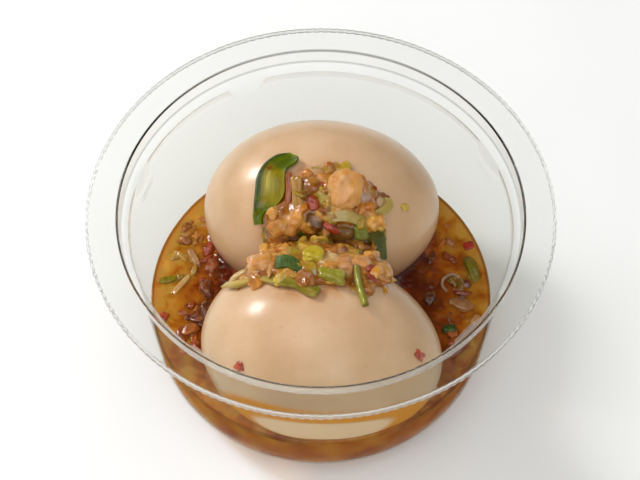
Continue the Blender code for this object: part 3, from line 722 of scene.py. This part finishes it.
# What floats at the surface: kind, colour, x, y, length, width, height, turn, squareness
floating = (
    ("leaf", "#8A7812", -35.8, 3.6, 4.4, 1.6, 1.0, 12, 3),
    ("onion", "#D8B070", -32.6, 2.2, 6.0, 1.3, 1.0, 55, 5),
    ("onion", "#B98A5A", -29.9, 9.6, 5.2, 1.6, 1.6, 117, 4),
    ("chilli", "#9C3A0C", -26.2, 12.4, 4.8, 2.6, 2.0, 50, 2.2),
    ("mince", "#A04C18", -25.6, 7.2, 4.0, 3.2, 2.2, 75, 2.5),
    ("mince", "#7A3A18", -26.6, 1.2, 5.6, 3.2, 2.4, 100, 2.5),
    ("mince", "#6A3216", -26.4, -4.6, 4.8, 2.6, 2.0, 95, 2.5),
    ("mince", "#B8641C", -30.0, -9.9, 3.8, 2.8, 1.8, 30, 3),
    ("mince", "#A8481C", -28.6, -15.6, 4.2, 2.6, 1.6, 120, 3),
    ("chilli", "#B8502A", -36.2, -6.6, 2.6, 2.0, 1.2, 60, 3),
    ("onion", "#B97A20", -31.4, 17.0, 4.4, 2.0, 1.0, 50, 3),
    ("leaf", "#7A6A18", 35.4, 6.6, 7.4, 2.4, 1.6, 108, 4),
    ("chilli", "#B0301E", 35.0, 13.0, 2.4, 1.9, 1.2, 20, 4),
    ("onion", "#A8703C", 32.6, -3.2, 5.0, 3.2, 1.4, 150, 2.6),
    ("onion", "#C88C48", 35.6, -7.6, 3.0, 2.0, 1.2, 60, 3),
    ("leaf", "#3A4A1A", 29.4, -9.8, 3.4, 2.0, 1.8, 10, 4),
    ("mince", "#5A2814", 25.4, -1.4, 3.6, 2.6, 1.6, 70, 2.5),
)


def liquidRise(x, y):
    # the meniscus at the wall and at both eggs, and slow ripples
    level = marinade["level"]
    gaps = [wallRadius(level) - math.hypot(x, y)] + [eggClearance(egg, x, y, level) for egg in eggs]
    rises = (marinade["wallRise"], marinade["eggRise"], marinade["eggRise"])
    climb = sum(rise * math.exp(-max(0.0, gap) / marinade["riseReach"]) for rise, gap in zip(rises, gaps))
    swell = noise.noise(Vector((x, y, 0.0)) / marinade["rippleSize"]) * marinade["ripple"]
    return min(climb, marinade["mostRise"]) + swell


def makeMarinade():
    level, into = marinade["level"], marinade["intoWall"]
    edge = wallRadius(level) + into
    top = [(edge * ring / marinade["rings"], level) for ring in range(1, marinade["rings"] + 1)]
    side = cornerArc(-into, marinade["cornerSteps"]) + baseFloor(-into)[:2]
    shape = newShape()
    rows = []
    for index, (radius, height) in enumerate(top + side):
        row = []
        for step in range(marinade["sides"]):
            turn = 2 * math.pi * step / marinade["sides"]
            x, y = radius * math.cos(turn), radius * math.sin(turn)
            row.append(addPoint(shape, (x, y, height + (liquidRise(x, y) if index < len(top) else 0.0))))
        rows.append(row)
    addBands(shape, rows, True)
    for row, middle in ((rows[0], (0, 0, level + liquidRise(0, 0))),
                        (rows[-1], (0, 0, baseFloor(-into)[2][1]))):
        centre = addPoint(shape, middle)
        shape["faces"] += [(row[step], row[step - 1], centre) for step in range(marinade["sides"])]
    return makePiece("marinadeLiquid", shape, marinadeLiquid(), ["marinade"])


makeMarinade()
print("marinade made")


# Chopped pieces, gathered by kind: one object for each

kinds = {
    "leaf": ("choppedScallionLeaf", leafSkin, "scallion_green"),
    "stem": ("choppedScallionStem", stemFlesh, "scallion_pale"),
    "onion": ("choppedOnion", onion, "onion"),
    "chilli": ("choppedChilli", chilli, "chopped_topping"),
    "mince": ("mincedAromatics", mince, "chopped_topping"),
}
gathered = {kind: newShape() for kind in kinds}


def flatSpot(x, y, z, turn):
    return Matrix.Translation((x, y, z)) @ turned(turn, "Z")


for index, (kind, code, x, y, length, width, height, turn, square) in enumerate(floating):
    place = flatSpot(x, y, marinade["level"] + 0.1, turn)
    bend = -0.9 if kind == "leaf" and length > 5 else 0.0
    addChunk(gathered[kind], place, (length, width, height), hexColour(code), square, 0.3, 4, bend,
             10 + index)
addHoop(gathered["onion"], flatSpot(30.6, 2.4, marinade["level"], 20), 2.7, 0.7, 1.6, 20, 200,
        hexColour("#A08468"), 3.0)


fineBits = {"count": 260, "seed": 11, "sizes": (0.7, 2.4), "depths": (0.4, 13), "slant": 50}


def scatterInMarinade():
    # fine pieces that hang in the liquid, between the eggs and the wall
    draw = random.Random(fineBits["seed"])
    colours = {
        "mince": ("#8A4410", "#B86A1E"), "chilli": ("#8E2008", "#C23410"),
        "leaf": ("#5A6A1C", "#7E8A24"), "onion": ("#B98848", "#D8AE74"),
    }
    placed = 0
    while placed < fineBits["count"]:
        reach, turn = draw.uniform(8, 37), draw.uniform(0, 360)
        x, y = reach * math.cos(math.radians(turn)), reach * math.sin(math.radians(turn))
        z = marinade["level"] - draw.uniform(*fineBits["depths"])
        size = draw.uniform(*fineBits["sizes"])
        kind = draw.choices(("mince", "chilli", "leaf", "onion"), (55, 20, 10, 15))[0]
        share, slant = draw.random(), draw.uniform(-fineBits["slant"], fineBits["slant"])
        spin = draw.uniform(0, 180)
        clear = clearOfEggs(x, y, z)
        floorHeight = max(3 + size, 26 - 0.6 * (38 - reach) - 20)
        if clear < size * 0.6 or reach + size * 0.6 > wallRadius(z) - 0.4 or z < floorHeight:
            continue
        if z < 10 and reach > 29 + math.sqrt(max(0.0, 81 - (9.8 - z) ** 2)) - size:
            continue
        place = flatSpot(x, y, z, spin) @ turned(slant, "X")
        tint = mixHex(*colours[kind], share)
        flat = 0.35 if kind in ("chilli", "leaf") else 0.75
        addChunk(gathered[kind], place, (size * 1.3, size, size * flat), tint, 3, 0.5, 2, 0.0, 60 + placed)
        placed += 1


# Clumps that lie at the surface: x, y, reach, how many, dark and bright colour
clumps = (
    (-26.5, 6.5, 4.6, 18, "#6E2006", "#B8480E"), (-27.0, -4.5, 5.0, 19, "#5A1E04", "#A84A0E"),
    (-30.0, -13.0, 4.6, 22, "#8E3A06", "#C8600E"), (-33.0, 7.0, 4.6, 14, "#8A7418", "#D0A03C"),
    (-29.5, 17.0, 4.0, 14, "#8A440C", "#C88428"), (27.5, 7.5, 4.6, 7, "#541C04", "#9C460E"),
    (28.5, -2.5, 5.4, 10, "#4C1804", "#94400C"), (33.0, -8.0, 4.4, 10, "#742C06", "#B8601C"),
    (34.0, 4.0, 4.6, 5, "#662A06", "#9A7E1C"), (30.5, 16.0, 4.6, 5, "#8A440C", "#C47420"),
    (29.5, -16.0, 4.0, 8, "#6A2408", "#B4500E"),
)
clumpBits = {"seed": 5, "lengths": (1.5, 4.4), "widths": (1.1, 2.4), "tip": 15, "sinks": (-1.4, 0.1)}


def scatterClumps():
    # soft lumps and shreds, half sunk, crowded beside the eggs
    draw = random.Random(clumpBits["seed"])
    index = 0
    for x, y, reach, count, dark, bright in clumps:
        for turn in range(count):
            away, around = reach * math.sqrt(draw.random()), draw.uniform(0, 2 * math.pi)
            px, py = x + away * math.cos(around), y + away * math.sin(around)
            length, width = draw.uniform(*clumpBits["lengths"]), draw.uniform(*clumpBits["widths"])
            share, spin = draw.random(), draw.uniform(0, 180)
            tip = draw.uniform(-clumpBits["tip"], clumpBits["tip"])
            sink = draw.uniform(*clumpBits["sinks"])
            kind = draw.choice(("mince", "mince", "mince", "onion", "chilli"))
            gap = clearOfEggs(px, py, marinade["level"])
            index += 1
            if gap < width * 0.4 or math.hypot(px, py) + length * 0.5 > wallRadius(marinade["level"]) - 0.4:
                continue
            place = flatSpot(px, py, marinade["level"] + sink, spin) @ turned(tip, "Y")
            tint = mixHex(dark, bright, share)
            addChunk(gathered[kind], place, (length, width, width * 0.7), tint, 2.6, 0.6, seed=1100 + index)


scatterClumps()
scatterInMarinade()
print("marinade filled")


# Topping

heapLook = {
    "bits": 230, "seed": 23, "lengths": (2.4, 5.4), "widths": (1.9, 3.6), "lifts": (-0.7, 0.2), "tip": 18,
    "shredShare": 0.3, "shredLengths": (3.0, 6.5), "shredWidths": (0.9, 1.6),
    "voxel": 0.24, "soften": 4, "coloursMixed": 5, "grow": 1.05,
}
mounds = (
    (rearEgg, 0.5, 41.0, (24, 10, 5)),
    (rearEgg, 3.0, 26.0, (19, 10, 4.6)),
    (frontEgg, -11.0, -28.0, (15, 12, 4.2)),
    (frontEgg, -2.0, -28.0, (14, 13, 4.4)),
    (frontEgg, 6.5, -37.0, (13, 11, 4.8)),
    (frontEgg, -3.0, -46.0, (24, 9, 6)),
)


def makeCore():
    # the lumps under the pieces: the valley and its mounds, rough like thick sauce
    shape = newShape()
    places = [(flatSpot(-1.0, 0.2, 33.5, 0), (26, 8, 8))]
    places += [(eggSpot(egg, along, angle), size) for egg, along, angle, size in mounds]
    for index, (place, size) in enumerate(places):
        addChunk(shape, place, size, hexColour("#A86414"), 2, 0.3, 5, 0.0, 30 + index)
    points = [Vector(point) / mm for point in shape["points"]]
    shape["points"] = [tuple((point + Vector((0, 0,
                                              0.5)) * noise.noise(point / 2.0)) * mm) for point in points]
    return shape


def runTogether(bound):
    # one skin over the core and the bits on it, which keeps the colour of each bit under it
    heap = makePiece("boundHeap", bound, sauce, ["topping_heap"])
    colours = [bound["tints"][index:index + 4] for index in range(0, len(bound["tints"]), 4)]
    tree = KDTree(len(bound["points"]))
    for index, point in enumerate(bound["points"]):
        tree.insert(point, index)
    tree.balance()
    blend = heap.modifiers.new("Run together", "REMESH")
    blend.mode = "VOXEL"
    blend.voxel_size = heapLook["voxel"] * mm
    soften = heap.modifiers.new("Soften", "SMOOTH")
    soften.iterations = heapLook["soften"]
    applyModifiers(heap)
    mesh = heap.data
    tints = mesh.color_attributes.new("tint", "FLOAT_COLOR", "POINT")
    fibres = mesh.attributes.new("fibre", "FLOAT_VECTOR", "POINT")
    for vert in mesh.vertices:
        near = [colours[index] for point, index, away in tree.find_n(vert.co, heapLook["coloursMixed"])]
        tints.data[vert.index].color = [sum(column) / len(near) for column in zip(*near)]
        fibres.data[vert.index].vector = vert.co / mm
    return heap


# Pieces that show: kind, colour, egg, along, angle, lift, length, width, height, turn, squareness
showing = (
    ("chilli", "#A8561C", rearEgg, -7.0, 24, 1.4, 1.3, 6.8, 1.4, 0, 5),
    ("stem", "#B8842F", rearEgg, -5.0, 27, 2.0, 2.6, 7.4, 2.4, 6, 5),
    ("onion", "#CE943E", rearEgg, -1.8, 21, 1.2, 3.2, 3.0, 2.6, 20, 3),
    ("chilli", "#A83A12", rearEgg, -1.9, 32, 2.6, 2.4, 3.4, 1.0, 24, 2.4),
    ("onion", "#C9AFA0", rearEgg, 9.0, 28, 1.6, 2.6, 4.4, 2.4, 20, 4),
    ("chilli", "#8A300E", rearEgg, 10.6, 31, 1.5, 1.6, 3.0, 1.6, -16, 4),
    ("onion", "#D8B484", rearEgg, 12.6, 31, 0.9, 2.6, 2.4, 2.2, 0, 2.5),
    ("mince", "#6E4414", rearEgg, -1.3, 42, 2.2, 3.0, 4.2, 2.6, 30, 2.4),
    ("onion", "#C88C3C", rearEgg, -9.1, 46, 1.9, 4.2, 4.2, 3.2, 30, 3),
    ("onion", "#D69A48", rearEgg, -6.4, 44, 2.1, 3.4, 4.4, 3.2, -20, 3),
    ("stem", "#B8842F", rearEgg, -9.9, 38, 1.1, 3.6, 3.0, 2.4, 15, 3),
    ("chilli", "#B0401E", rearEgg, 1.8, 45, 3.0, 4.0, 1.6, 1.0, -35, 2.6),
    ("leaf", "#7E8232", rearEgg, 8.0, 48, 2.2, 3.0, 3.6, 2.6, 10, 4),
    ("mince", "#8A6220", rearEgg, 4.4, 49, 1.8, 4.6, 3.0, 2.2, -8, 2.6),
    ("onion", "#DC9E4E", frontEgg, -14.6, -25, 1.9, 6.2, 5.0, 3.8, 10, 3),
    ("stem", "#D9B878", frontEgg, -19.4, -25, 0.6, 4.6, 1.5, 1.6, 20, 5),
    ("stem", "#CDB414", frontEgg, -3.9, -27, 3.2, 4.2, 3.8, 2.4, 4, 6),
    ("onion", "#EAC88C", frontEgg, -0.7, -28, 1.7, 3.8, 4.6, 2.8, 0, 4.5),
    ("onion", "#D99C5C", frontEgg, 2.6, -27, 2.0, 3.4, 4.6, 3.2, 15, 3),
    ("stem", "#A09A24", frontEgg, 0.8, -16, 1.7, 5.4, 3.0, 2.4, -6, 5),
    ("chilli", "#B5441C", frontEgg, 7.3, -32, 2.2, 2.6, 2.2, 1.8, 30, 3),
    ("onion", "#CE9C50", frontEgg, 9.8, -41, 1.6, 5.4, 5.0, 3.6, 0, 3),
    ("onion", "#DC9C58", frontEgg, 5.5, -32, 2.4, 3.6, 3.4, 3.2, 0, 3),
    ("onion", "#DCE0D8", frontEgg, -4.0, -14, 1.0, 2.8, 2.6, 2.4, 0, 3),
)


# Where chopped bits lie, as (along, angle) corners on each egg
heaps = (
    (rearEgg, ((-8.5, 30), (-6, 14), (-1, 9), (5, 9), (10.4, 20), (14, 25), (12.5, 40), (14, 57),
               (11, 76), (-12, 78), (-15, 60), (-12.5, 46), (-11, 40))),
    (frontEgg, ((-20, -22), (-16, -11), (-9, -9.5), (-4, -8.5), (0, -9), (4.6, -13), (9, -13),
                (12.5, -28), (13, -60), (-14, -60), (-18, -34))),
)
bitColours = {
    "onion": ("#C67810", "#ECB04C"), "mince": ("#84460A", "#BE761C"), "stem": ("#98800C", "#D2B23A"),
    "leaf": ("#3A5008", "#767A14"), "chilli": ("#8E2408", "#C04C18"),
}


def insideOutline(x, y, corners):
    inside = False
    for (x1, y1), (x2, y2) in zip(corners, corners[1:] + corners[:1]):
        if (y1 > y) != (y2 > y) and x < x1 + (y - y1) * (x2 - x1) / (y2 - y1):
            inside = not inside
    return inside


def scatterOnHeap(bound):
    # Chopped bits and shreds lie all over the heap, each set down on what is under it.
    draw = random.Random(heapLook["seed"])
    points = [Vector(point) / mm for point in bound["points"]]
    faces = list(bound["faces"])
    units, skinFaces = unitBall(5)
    for egg in eggs:
        first = len(points)
        points += [eggSkin(egg, unit) for unit in units]
        faces += [tuple(first + index for index in face) for face in skinFaces]
    ground = BVHTree.FromPolygons(points, faces)
    placed = 0
    while placed < heapLook["bits"]:
        egg, corners = draw.choice(heaps)
        along, angle = draw.uniform(-20, 14), draw.uniform(-60, 78)
        kind = draw.choices(("onion", "mince", "stem", "leaf", "chilli"), (50, 18, 20, 5, 7))[0]
        shred, share = draw.random() < heapLook["shredShare"], draw.random()
        length, width = draw.uniform(*heapLook["lengths"]), draw.uniform(*heapLook["widths"])
        if shred:
            length, width = draw.uniform(*heapLook["shredLengths"]), draw.uniform(*heapLook["shredWidths"])
        if kind in ("leaf", "chilli"):
            length, width = length * 0.6, width * 0.7  # flat skins are cut smaller
        spin, tip = draw.uniform(0, 180), draw.uniform(-heapLook["tip"], heapLook["tip"])
        lift = draw.uniform(*heapLook["lifts"])
        if not insideOutline(along, angle, corners):
            continue
        above = eggSpot(egg, along, angle, 9.0)
        hit, normal, face, gap = ground.ray_cast(above.translation, -above.to_3x3().col[2])
        if hit is None:
            continue
        across = Vector((1, 0, 0)) - normal * normal.x
        across.normalize()
        place = Matrix((across, normal.cross(across), normal)).transposed().to_4x4()
        place.translation = hit + normal * lift
        place = place @ turned(spin, "Z") @ turned(tip, "Y")
        thin = kind in ("leaf", "chilli")
        size = (length, width, width * (0.35 if thin else 0.7))
        square = draw.choice((2.2, 2.8, 3.4))
        bend = draw.uniform(-0.5, 0.5) if shred else 0.0
        shape = gathered[kind] if thin or placed % 9 == 0 else bound
        addChunk(shape, place, size, mixHex(*bitColours[kind], share), square, 0.5, 3, bend, 400 + placed)
        placed += 1


boundBits = makeCore()
scatterOnHeap(boundBits)
for index, (kind, code, egg, along, angle, lift, length, width, height, turn, square) in enumerate(showing):
    place = eggSpot(egg, along, angle, lift, turn)
    size = [part * heapLook["grow"] for part in (length, width, height)]
    shape = boundBits if kind in ("onion", "mince") else gathered[kind]
    addChunk(shape, place, size, hexColour(code), min(square, 4.5), 0.3, 4, 0.0, index)
runTogether(boundBits)
print("heap made")


# Leaves over the eggs

def leafSheet(egg, stations, lift, tintAt, steps, across):
    # A station is the (along, angle) of the leaf's two edges. lift and tintAt take the share
    # across and the share along.
    columns = list(zip(*stations))
    shape = newShape()
    rows = []
    for step in range(steps + 1):
        share = step / steps
        alongA, angleA, alongB, angleB = (eased(column, share) for column in columns)
        row = []
        for cell in range(across + 1):
            side = cell / across
            along, angle = alongA + (alongB - alongA) * side, angleA + (angleB - angleA) * side
            place = eggSpot(egg, along, angle, lift(side, share))
            width = math.hypot(alongB - alongA, (angleB - angleA) * math.radians(egg["halfWidth"]))
            fibre = (side * width, share * len(stations) * 2.2, 0.0)
            row.append(addPoint(shape, place.translation, tintAt(side, share), fibre))
        rows.append(row)
    addBands(shape, rows)
    return shape


def makeLeaf(name, node, egg, stations, lift, tintAt, thickness, material, steps=64, across=20):
    made = makePiece(name, leafSheet(egg, stations, lift, tintAt, steps, across), material, [node])
    body = made.modifiers.new("Leaf thickness", "SOLIDIFY")
    body.thickness = thickness * mm
    body.offset = 0.0
    body.use_even_offset = True
    edge = made.modifiers.new("Soft edge", "BEVEL")
    edge.width = thickness * 0.3 * mm
    edge.segments = 2
    edge.limit_method = "ANGLE"
    return applyModifiers(made)


def bandStations(egg, path, widths):
    degree = math.radians(egg["halfWidth"])
    stations = []
    for index, (along, angle) in enumerate(path):
        before, after = path[max(index - 1, 0)], path[min(index + 1, len(path) - 1)]
        run = Vector((after[0] - before[0], (after[1] - before[1]) * degree)).normalized()
        over, up = run.y * widths[index] / 2, run.x * widths[index] / 2 / degree
        stations.append((along - over, angle + up, along + over, angle - up))
    return stations


# The curled leaf: from its foot, low on the left, up and over to the right.
curlEdges = (
    (-14.7, 45.4, -12.9, 44.8), (-14.7, 39.0, -12.6, 38.0), (-14.5, 32.0, -9.6, 32.5),
    (-14.2, 23.0, -8.0, 25.0), (-13.9, 13.5, -8.0, 16.0), (-12.4, 5.0, -7.6, 10.0),
    (-9.8, -0.6, -5.6, 6.5), (-7.0, -1.6, -5.1, 2.5),
)
curlGreens = {name: hexColour(code) for name, code in {
    "flank": "#2A3E04", "band": "#546206", "end": "#74840C", "inner": "#8E7E04", "bright": "#5E7004",
    "veinAndSheen": "#C9B84E", "bruise": "#7A2C10",
}.items()}


def curlLift(side, share):
    rise = math.sin(math.pi * min(1.0, share * 1.1))
    roll = smoothStep(0.0, 0.16, side)
    crest = 0.75 + 2.0 * rise * (1 - side) ** 2 + 0.5 * side * side
    return crest - 1.1 * rise * (1 - roll) + 0.12 * math.sin(9 * share + 5 * side)


def curlTint(side, share):
    tint = mixTint(curlGreens["bright"], curlGreens["inner"], smoothStep(0.22, 0.34, share))
    # a pale streak down the inner face: partly a vein, partly a painted highlight where it catches the
    # light
    veinAndSheen = math.exp(-((side - 0.42) / 0.07) ** 2)
    veinAndSheen *= smoothStep(0.4, 0.5, share) * (1 - smoothStep(0.6, 0.68, share))
    tint = mixTint(tint, curlGreens["veinAndSheen"], 0.8 * veinAndSheen)
    # the left flank is painted dark green, partly the leaf's darker outer side and partly painted shade
    # where it rolls down to the egg
    band = max(smoothStep(0.62, 0.72, share), 1 - smoothStep(0.1, 0.3, side) if share > 0.2 else 0.0)
    tint = mixTint(tint, curlGreens["band"], band)
    tint = mixTint(tint, curlGreens["flank"], (1 - smoothStep(0.1, 0.3, side)) * smoothStep(0.15, 0.3,
                                                                                            share))
    spot = math.exp(-((side - 0.36) / 0.14) ** 2 - ((share - 0.68) / 0.05) ** 2)
    tint = mixTint(tint, curlGreens["bruise"], 0.9 * spot)
    return mixTint(tint, curlGreens["end"], 0.7 * smoothStep(0.9, 1.0, share))


def plainTint(first, second):
    a, b = hexColour(first), hexColour(second)
    return lambda side, share: mixTint(a, b, clamped(share + 0.3 * math.sin(11 * share + 4 * side)))


def ripple(height, waves, depth):
    return lambda side, share: height + depth * math.sin(waves * math.pi * share) * (0.4 + side)


makeLeaf("scallionCurl", "scallion_curl", rearEgg, curlEdges, curlLift, curlTint, 0.6, leafSkin,
         96, 32)
makeLeaf(
    "scallionLeaf", "scallion_leaf", rearEgg,
    bandStations(rearEgg, ((10.4, 43.0), (11.4, 50.0), (12.3, 57.0), (13.1, 65.0), (13.8, 73.0)),
                 (1.8, 3.2, 3.4, 2.4, 1.2)),
    ripple(0.9, 2, 0.2), plainTint("#6A6420", "#4E5A1A"), 0.5, leafSkin,
)
makeLeaf(
    "scallionShred", "scallion_shred", rearEgg,
    bandStations(rearEgg, ((1.2, 39.1), (5.1, 38.6), (8.5, 41.5), (11.2, 38.4), (13.7, 32.9), (13.5, 28.3)),
                 (1.8, 2.2, 2.0, 2.0, 1.6, 1.2)),
    ripple(2.9, 3, 0.3), plainTint("#C8AE5A", "#B8A24A"), 0.7, stemFlesh,
)
makeLeaf(
    "scallionStrip", "scallion_strip", frontEgg,
    bandStations(frontEgg, ((-21.9, -19.0), (-18.9, -11.5), (-15.8, -13.0), (-12.9, -12.4), (-9.5, -9.2),
                            (-6.0, -8.6), (-2.9, -5.1), (-1.0, -3.3)),
                 (1.3, 1.8, 2.0, 2.1, 2.5, 2.8, 3.0, 2.2)),
    ripple(1.0, 4, 0.15), plainTint("#D2B04E", "#807A12"), 0.8, stemFlesh,
)
makeLeaf(
    "scallionCut", "scallion_cut", frontEgg,
    ((-11.4, -26.5, -6.3, -22.0), (-10.9, -20.5, -5.6, -17.0), (-10.5, -15.4, -5.0, -12.4)),
    lambda side, share: 2.4 + 0.9 * math.sin(math.pi * side), plainTint("#44601A", "#3A541A"), 0.8,
    leafSkin, 32, 32,
)


def makeStalk():
    stalk = {
        "path": ((5.1, -25.0, 3.0), (5.8, -21.0, 2.1), (6.8, -15.0, 1.4),
                 (7.9, -9.0, 1.15), (9.0, -3.3, 1.15)),
        "radius": 0.75, "sides": 20, "steps": 60,
    }
    columns = list(zip(*stalk["path"]))
    shape = newShape()
    spots = [eggSpot(frontEgg, *(eased(column, step / stalk["steps"]) for column in columns))
             for step in range(stalk["steps"] + 1)]
    rows = []
    for index, spot in enumerate(spots):
        before, after = spots[max(index - 1, 0)], spots[min(index + 1, len(spots) - 1)]
        run = (after.translation - before.translation).normalized()
        up = spot.to_3x3().col[2]
        aside = run.cross(up).normalized()
        share = index / stalk["steps"]
        row = []
        for side in range(stalk["sides"]):
            turn = 2 * math.pi * side / stalk["sides"]
            uneven = 0.05 * noise.noise(Vector((share * 9, turn, 2)))
            ribs = stalk["radius"] * (1 + 0.06 * math.cos(5 * turn) + uneven)
            point = spot.translation + (aside * math.cos(turn) + up * math.sin(turn)) * ribs
            # painted shade: one side of the stalk is painted dark green
            dark = smoothStep(0.2, 0.9, -math.cos(turn))
            tint = mixTint(mixHex("#86802A", "#9C922E", share), hexColour("#4A4C14"), 0.8 * dark)
            tint = mixTint(tint, hexColour("#6E6A1E"), smoothStep(0.93, 1.0, share))
            row.append(addPoint(shape, point, tint, (turn * stalk["radius"], share * 10, 0.0)))
        rows.append(row)
    addBands(shape, rows, True)
    shape["faces"] += [tuple(rows[0]), tuple(rows[-1])]
    return makePiece("scallionStalk", shape, leafSkin, ["scallion_stalk"])


makeStalk()

onionBlock = newShape()
addChunk(onionBlock, eggSpot(rearEgg, 4.9, 23.8, 2.4, -4), (8.0, 8.1, 3.7), hexColour("#E6A856"), 3.2, 0.3,
         5, -0.3, 5)
makePiece("onionBlock", onionBlock, onion, ["onion_chunk"])
print("leaves made")


# Flakes on the eggs: kind, colour, egg, along, angle, length, width, turn

flakes = (
    ("stem", "#D9B84A", rearEgg, 18.8, 33.2, 2.0, 1.4, 20),
    ("chilli", "#C4563A", frontEgg, -14.9, 52.2, 2.2, 1.8, 15),
    ("chilli", "#C4563A", frontEgg, 22.0, 15.2, 2.6, 1.9, -10),
)
for index, (kind, code, egg, along, angle, length, width, turn) in enumerate(flakes):
    place = eggSpot(egg, along, angle, 0.15, turn)
    addChunk(gathered[kind], place, (length, width, 1.0), hexColour(code), 3, 0.5, 4, 0.0, 200 + index)

for kind, (name, material, slot) in kinds.items():
    makePiece(name, gathered[kind], material)
print("chopped pieces made")


# Studio: pale floor, soft light, camera

def makeFloor():
    shape = bmesh.new()
    bmesh.ops.create_grid(shape, x_segments=8, y_segments=8, size=1.5)
    mesh = bpy.data.meshes.new("paperSweep")
    shape.to_mesh(mesh)
    shape.free()
    mesh.materials.append(paleFloor())
    sweep = bpy.data.objects.new("paperSweep", mesh)
    bpy.context.scene.collection.objects.link(sweep)


# Softboxes: direction, distance and size in metres, watts. All face the middle of the eggs.
softboxes = {
    "keySoftbox": ((-0.7, 0.391, 0.597), 0.7, (0.16, 0.16), 2.8),
    "topSoftbox": ((-0.1, -0.2, 0.97), 1.3, (0.9, 0.9), 3.7),
    "frontSoftbox": ((0.05, -0.8, 0.6), 1.2, (0.8, 0.6), 2.6),
}


def addSoftbox(name, towards, distance, size, power):
    lamp = bpy.data.lights.new(name, "AREA")
    lamp.shape = "RECTANGLE"
    lamp.size, lamp.size_y = size
    lamp.energy = power
    made = bpy.data.objects.new(name, lamp)
    bpy.context.scene.collection.objects.link(made)
    out = Vector(towards).normalized()
    made.location = Vector((0, 0, 0.03)) + out * distance
    made.rotation_euler = out.to_track_quat("Z", "Y").to_euler()


def lightRoom():
    world = bpy.data.worlds.new("studio")
    world.use_nodes = True
    bpy.context.scene.world = world
    tree = world.node_tree
    tree.nodes.clear()
    # a dim room: the softboxes light the food, so wet surfaces show glints and no haze
    towards = addNode(tree, "ShaderNodeTexCoord").outputs["Generated"]
    parts = addNode(tree, "ShaderNodeSeparateXYZ", links={0: towards})
    tone = addRamp(tree, parts.outputs["Z"], [(0.0, "#8A8A88"), (0.12, "#8A8A88"), (0.4, "#C4C4C3"),
                                              (1.0, "#CECECD")])
    # a black flag high at the back keeps the room out of the wet surfaces
    facing = addNode(tree, "ShaderNodeVectorMath", {1: (0.0, 0.553, 0.833)}, {0: towards},
                     operation="DOT_PRODUCT")
    flag = addNode(tree, "ShaderNodeMapRange",
                   {"From Min": 0.78, "From Max": 0.93, "To Min": 1.0, "To Max": 0.08},
                   {"Value": facing}, interpolation_type="SMOOTHSTEP")
    sky = addNode(tree, "ShaderNodeBackground", links={"Color": tone, "Strength": flag})
    output = addNode(tree, "ShaderNodeOutputWorld")
    tree.links.new(sky.outputs["Background"], output.inputs["Surface"])
    for name, setting in softboxes.items():
        addSoftbox(name, *setting)


# The camera stands in front and looks down.
camera = {"aim": (-0.19, 0.0, 39.5), "distance": 358.0, "elevation": 56.4, "lens": 91.125}


def placeCamera():
    lens = bpy.data.cameras.new("camera")
    lens.lens = camera["lens"]
    made = bpy.data.objects.new("camera", lens)
    bpy.context.scene.collection.objects.link(made)
    rise = math.radians(camera["elevation"])
    back = Vector((0, -math.cos(rise), math.sin(rise)))
    made.location = (Vector(camera["aim"]) + back * camera["distance"]) * mm
    made.rotation_euler = (math.pi / 2 - rise, 0, 0)
    lens.clip_start, lens.clip_end = 0.01, 10
    bpy.context.scene.camera = made


makeFloor()
lightRoom()
placeCamera()
print("studio made")
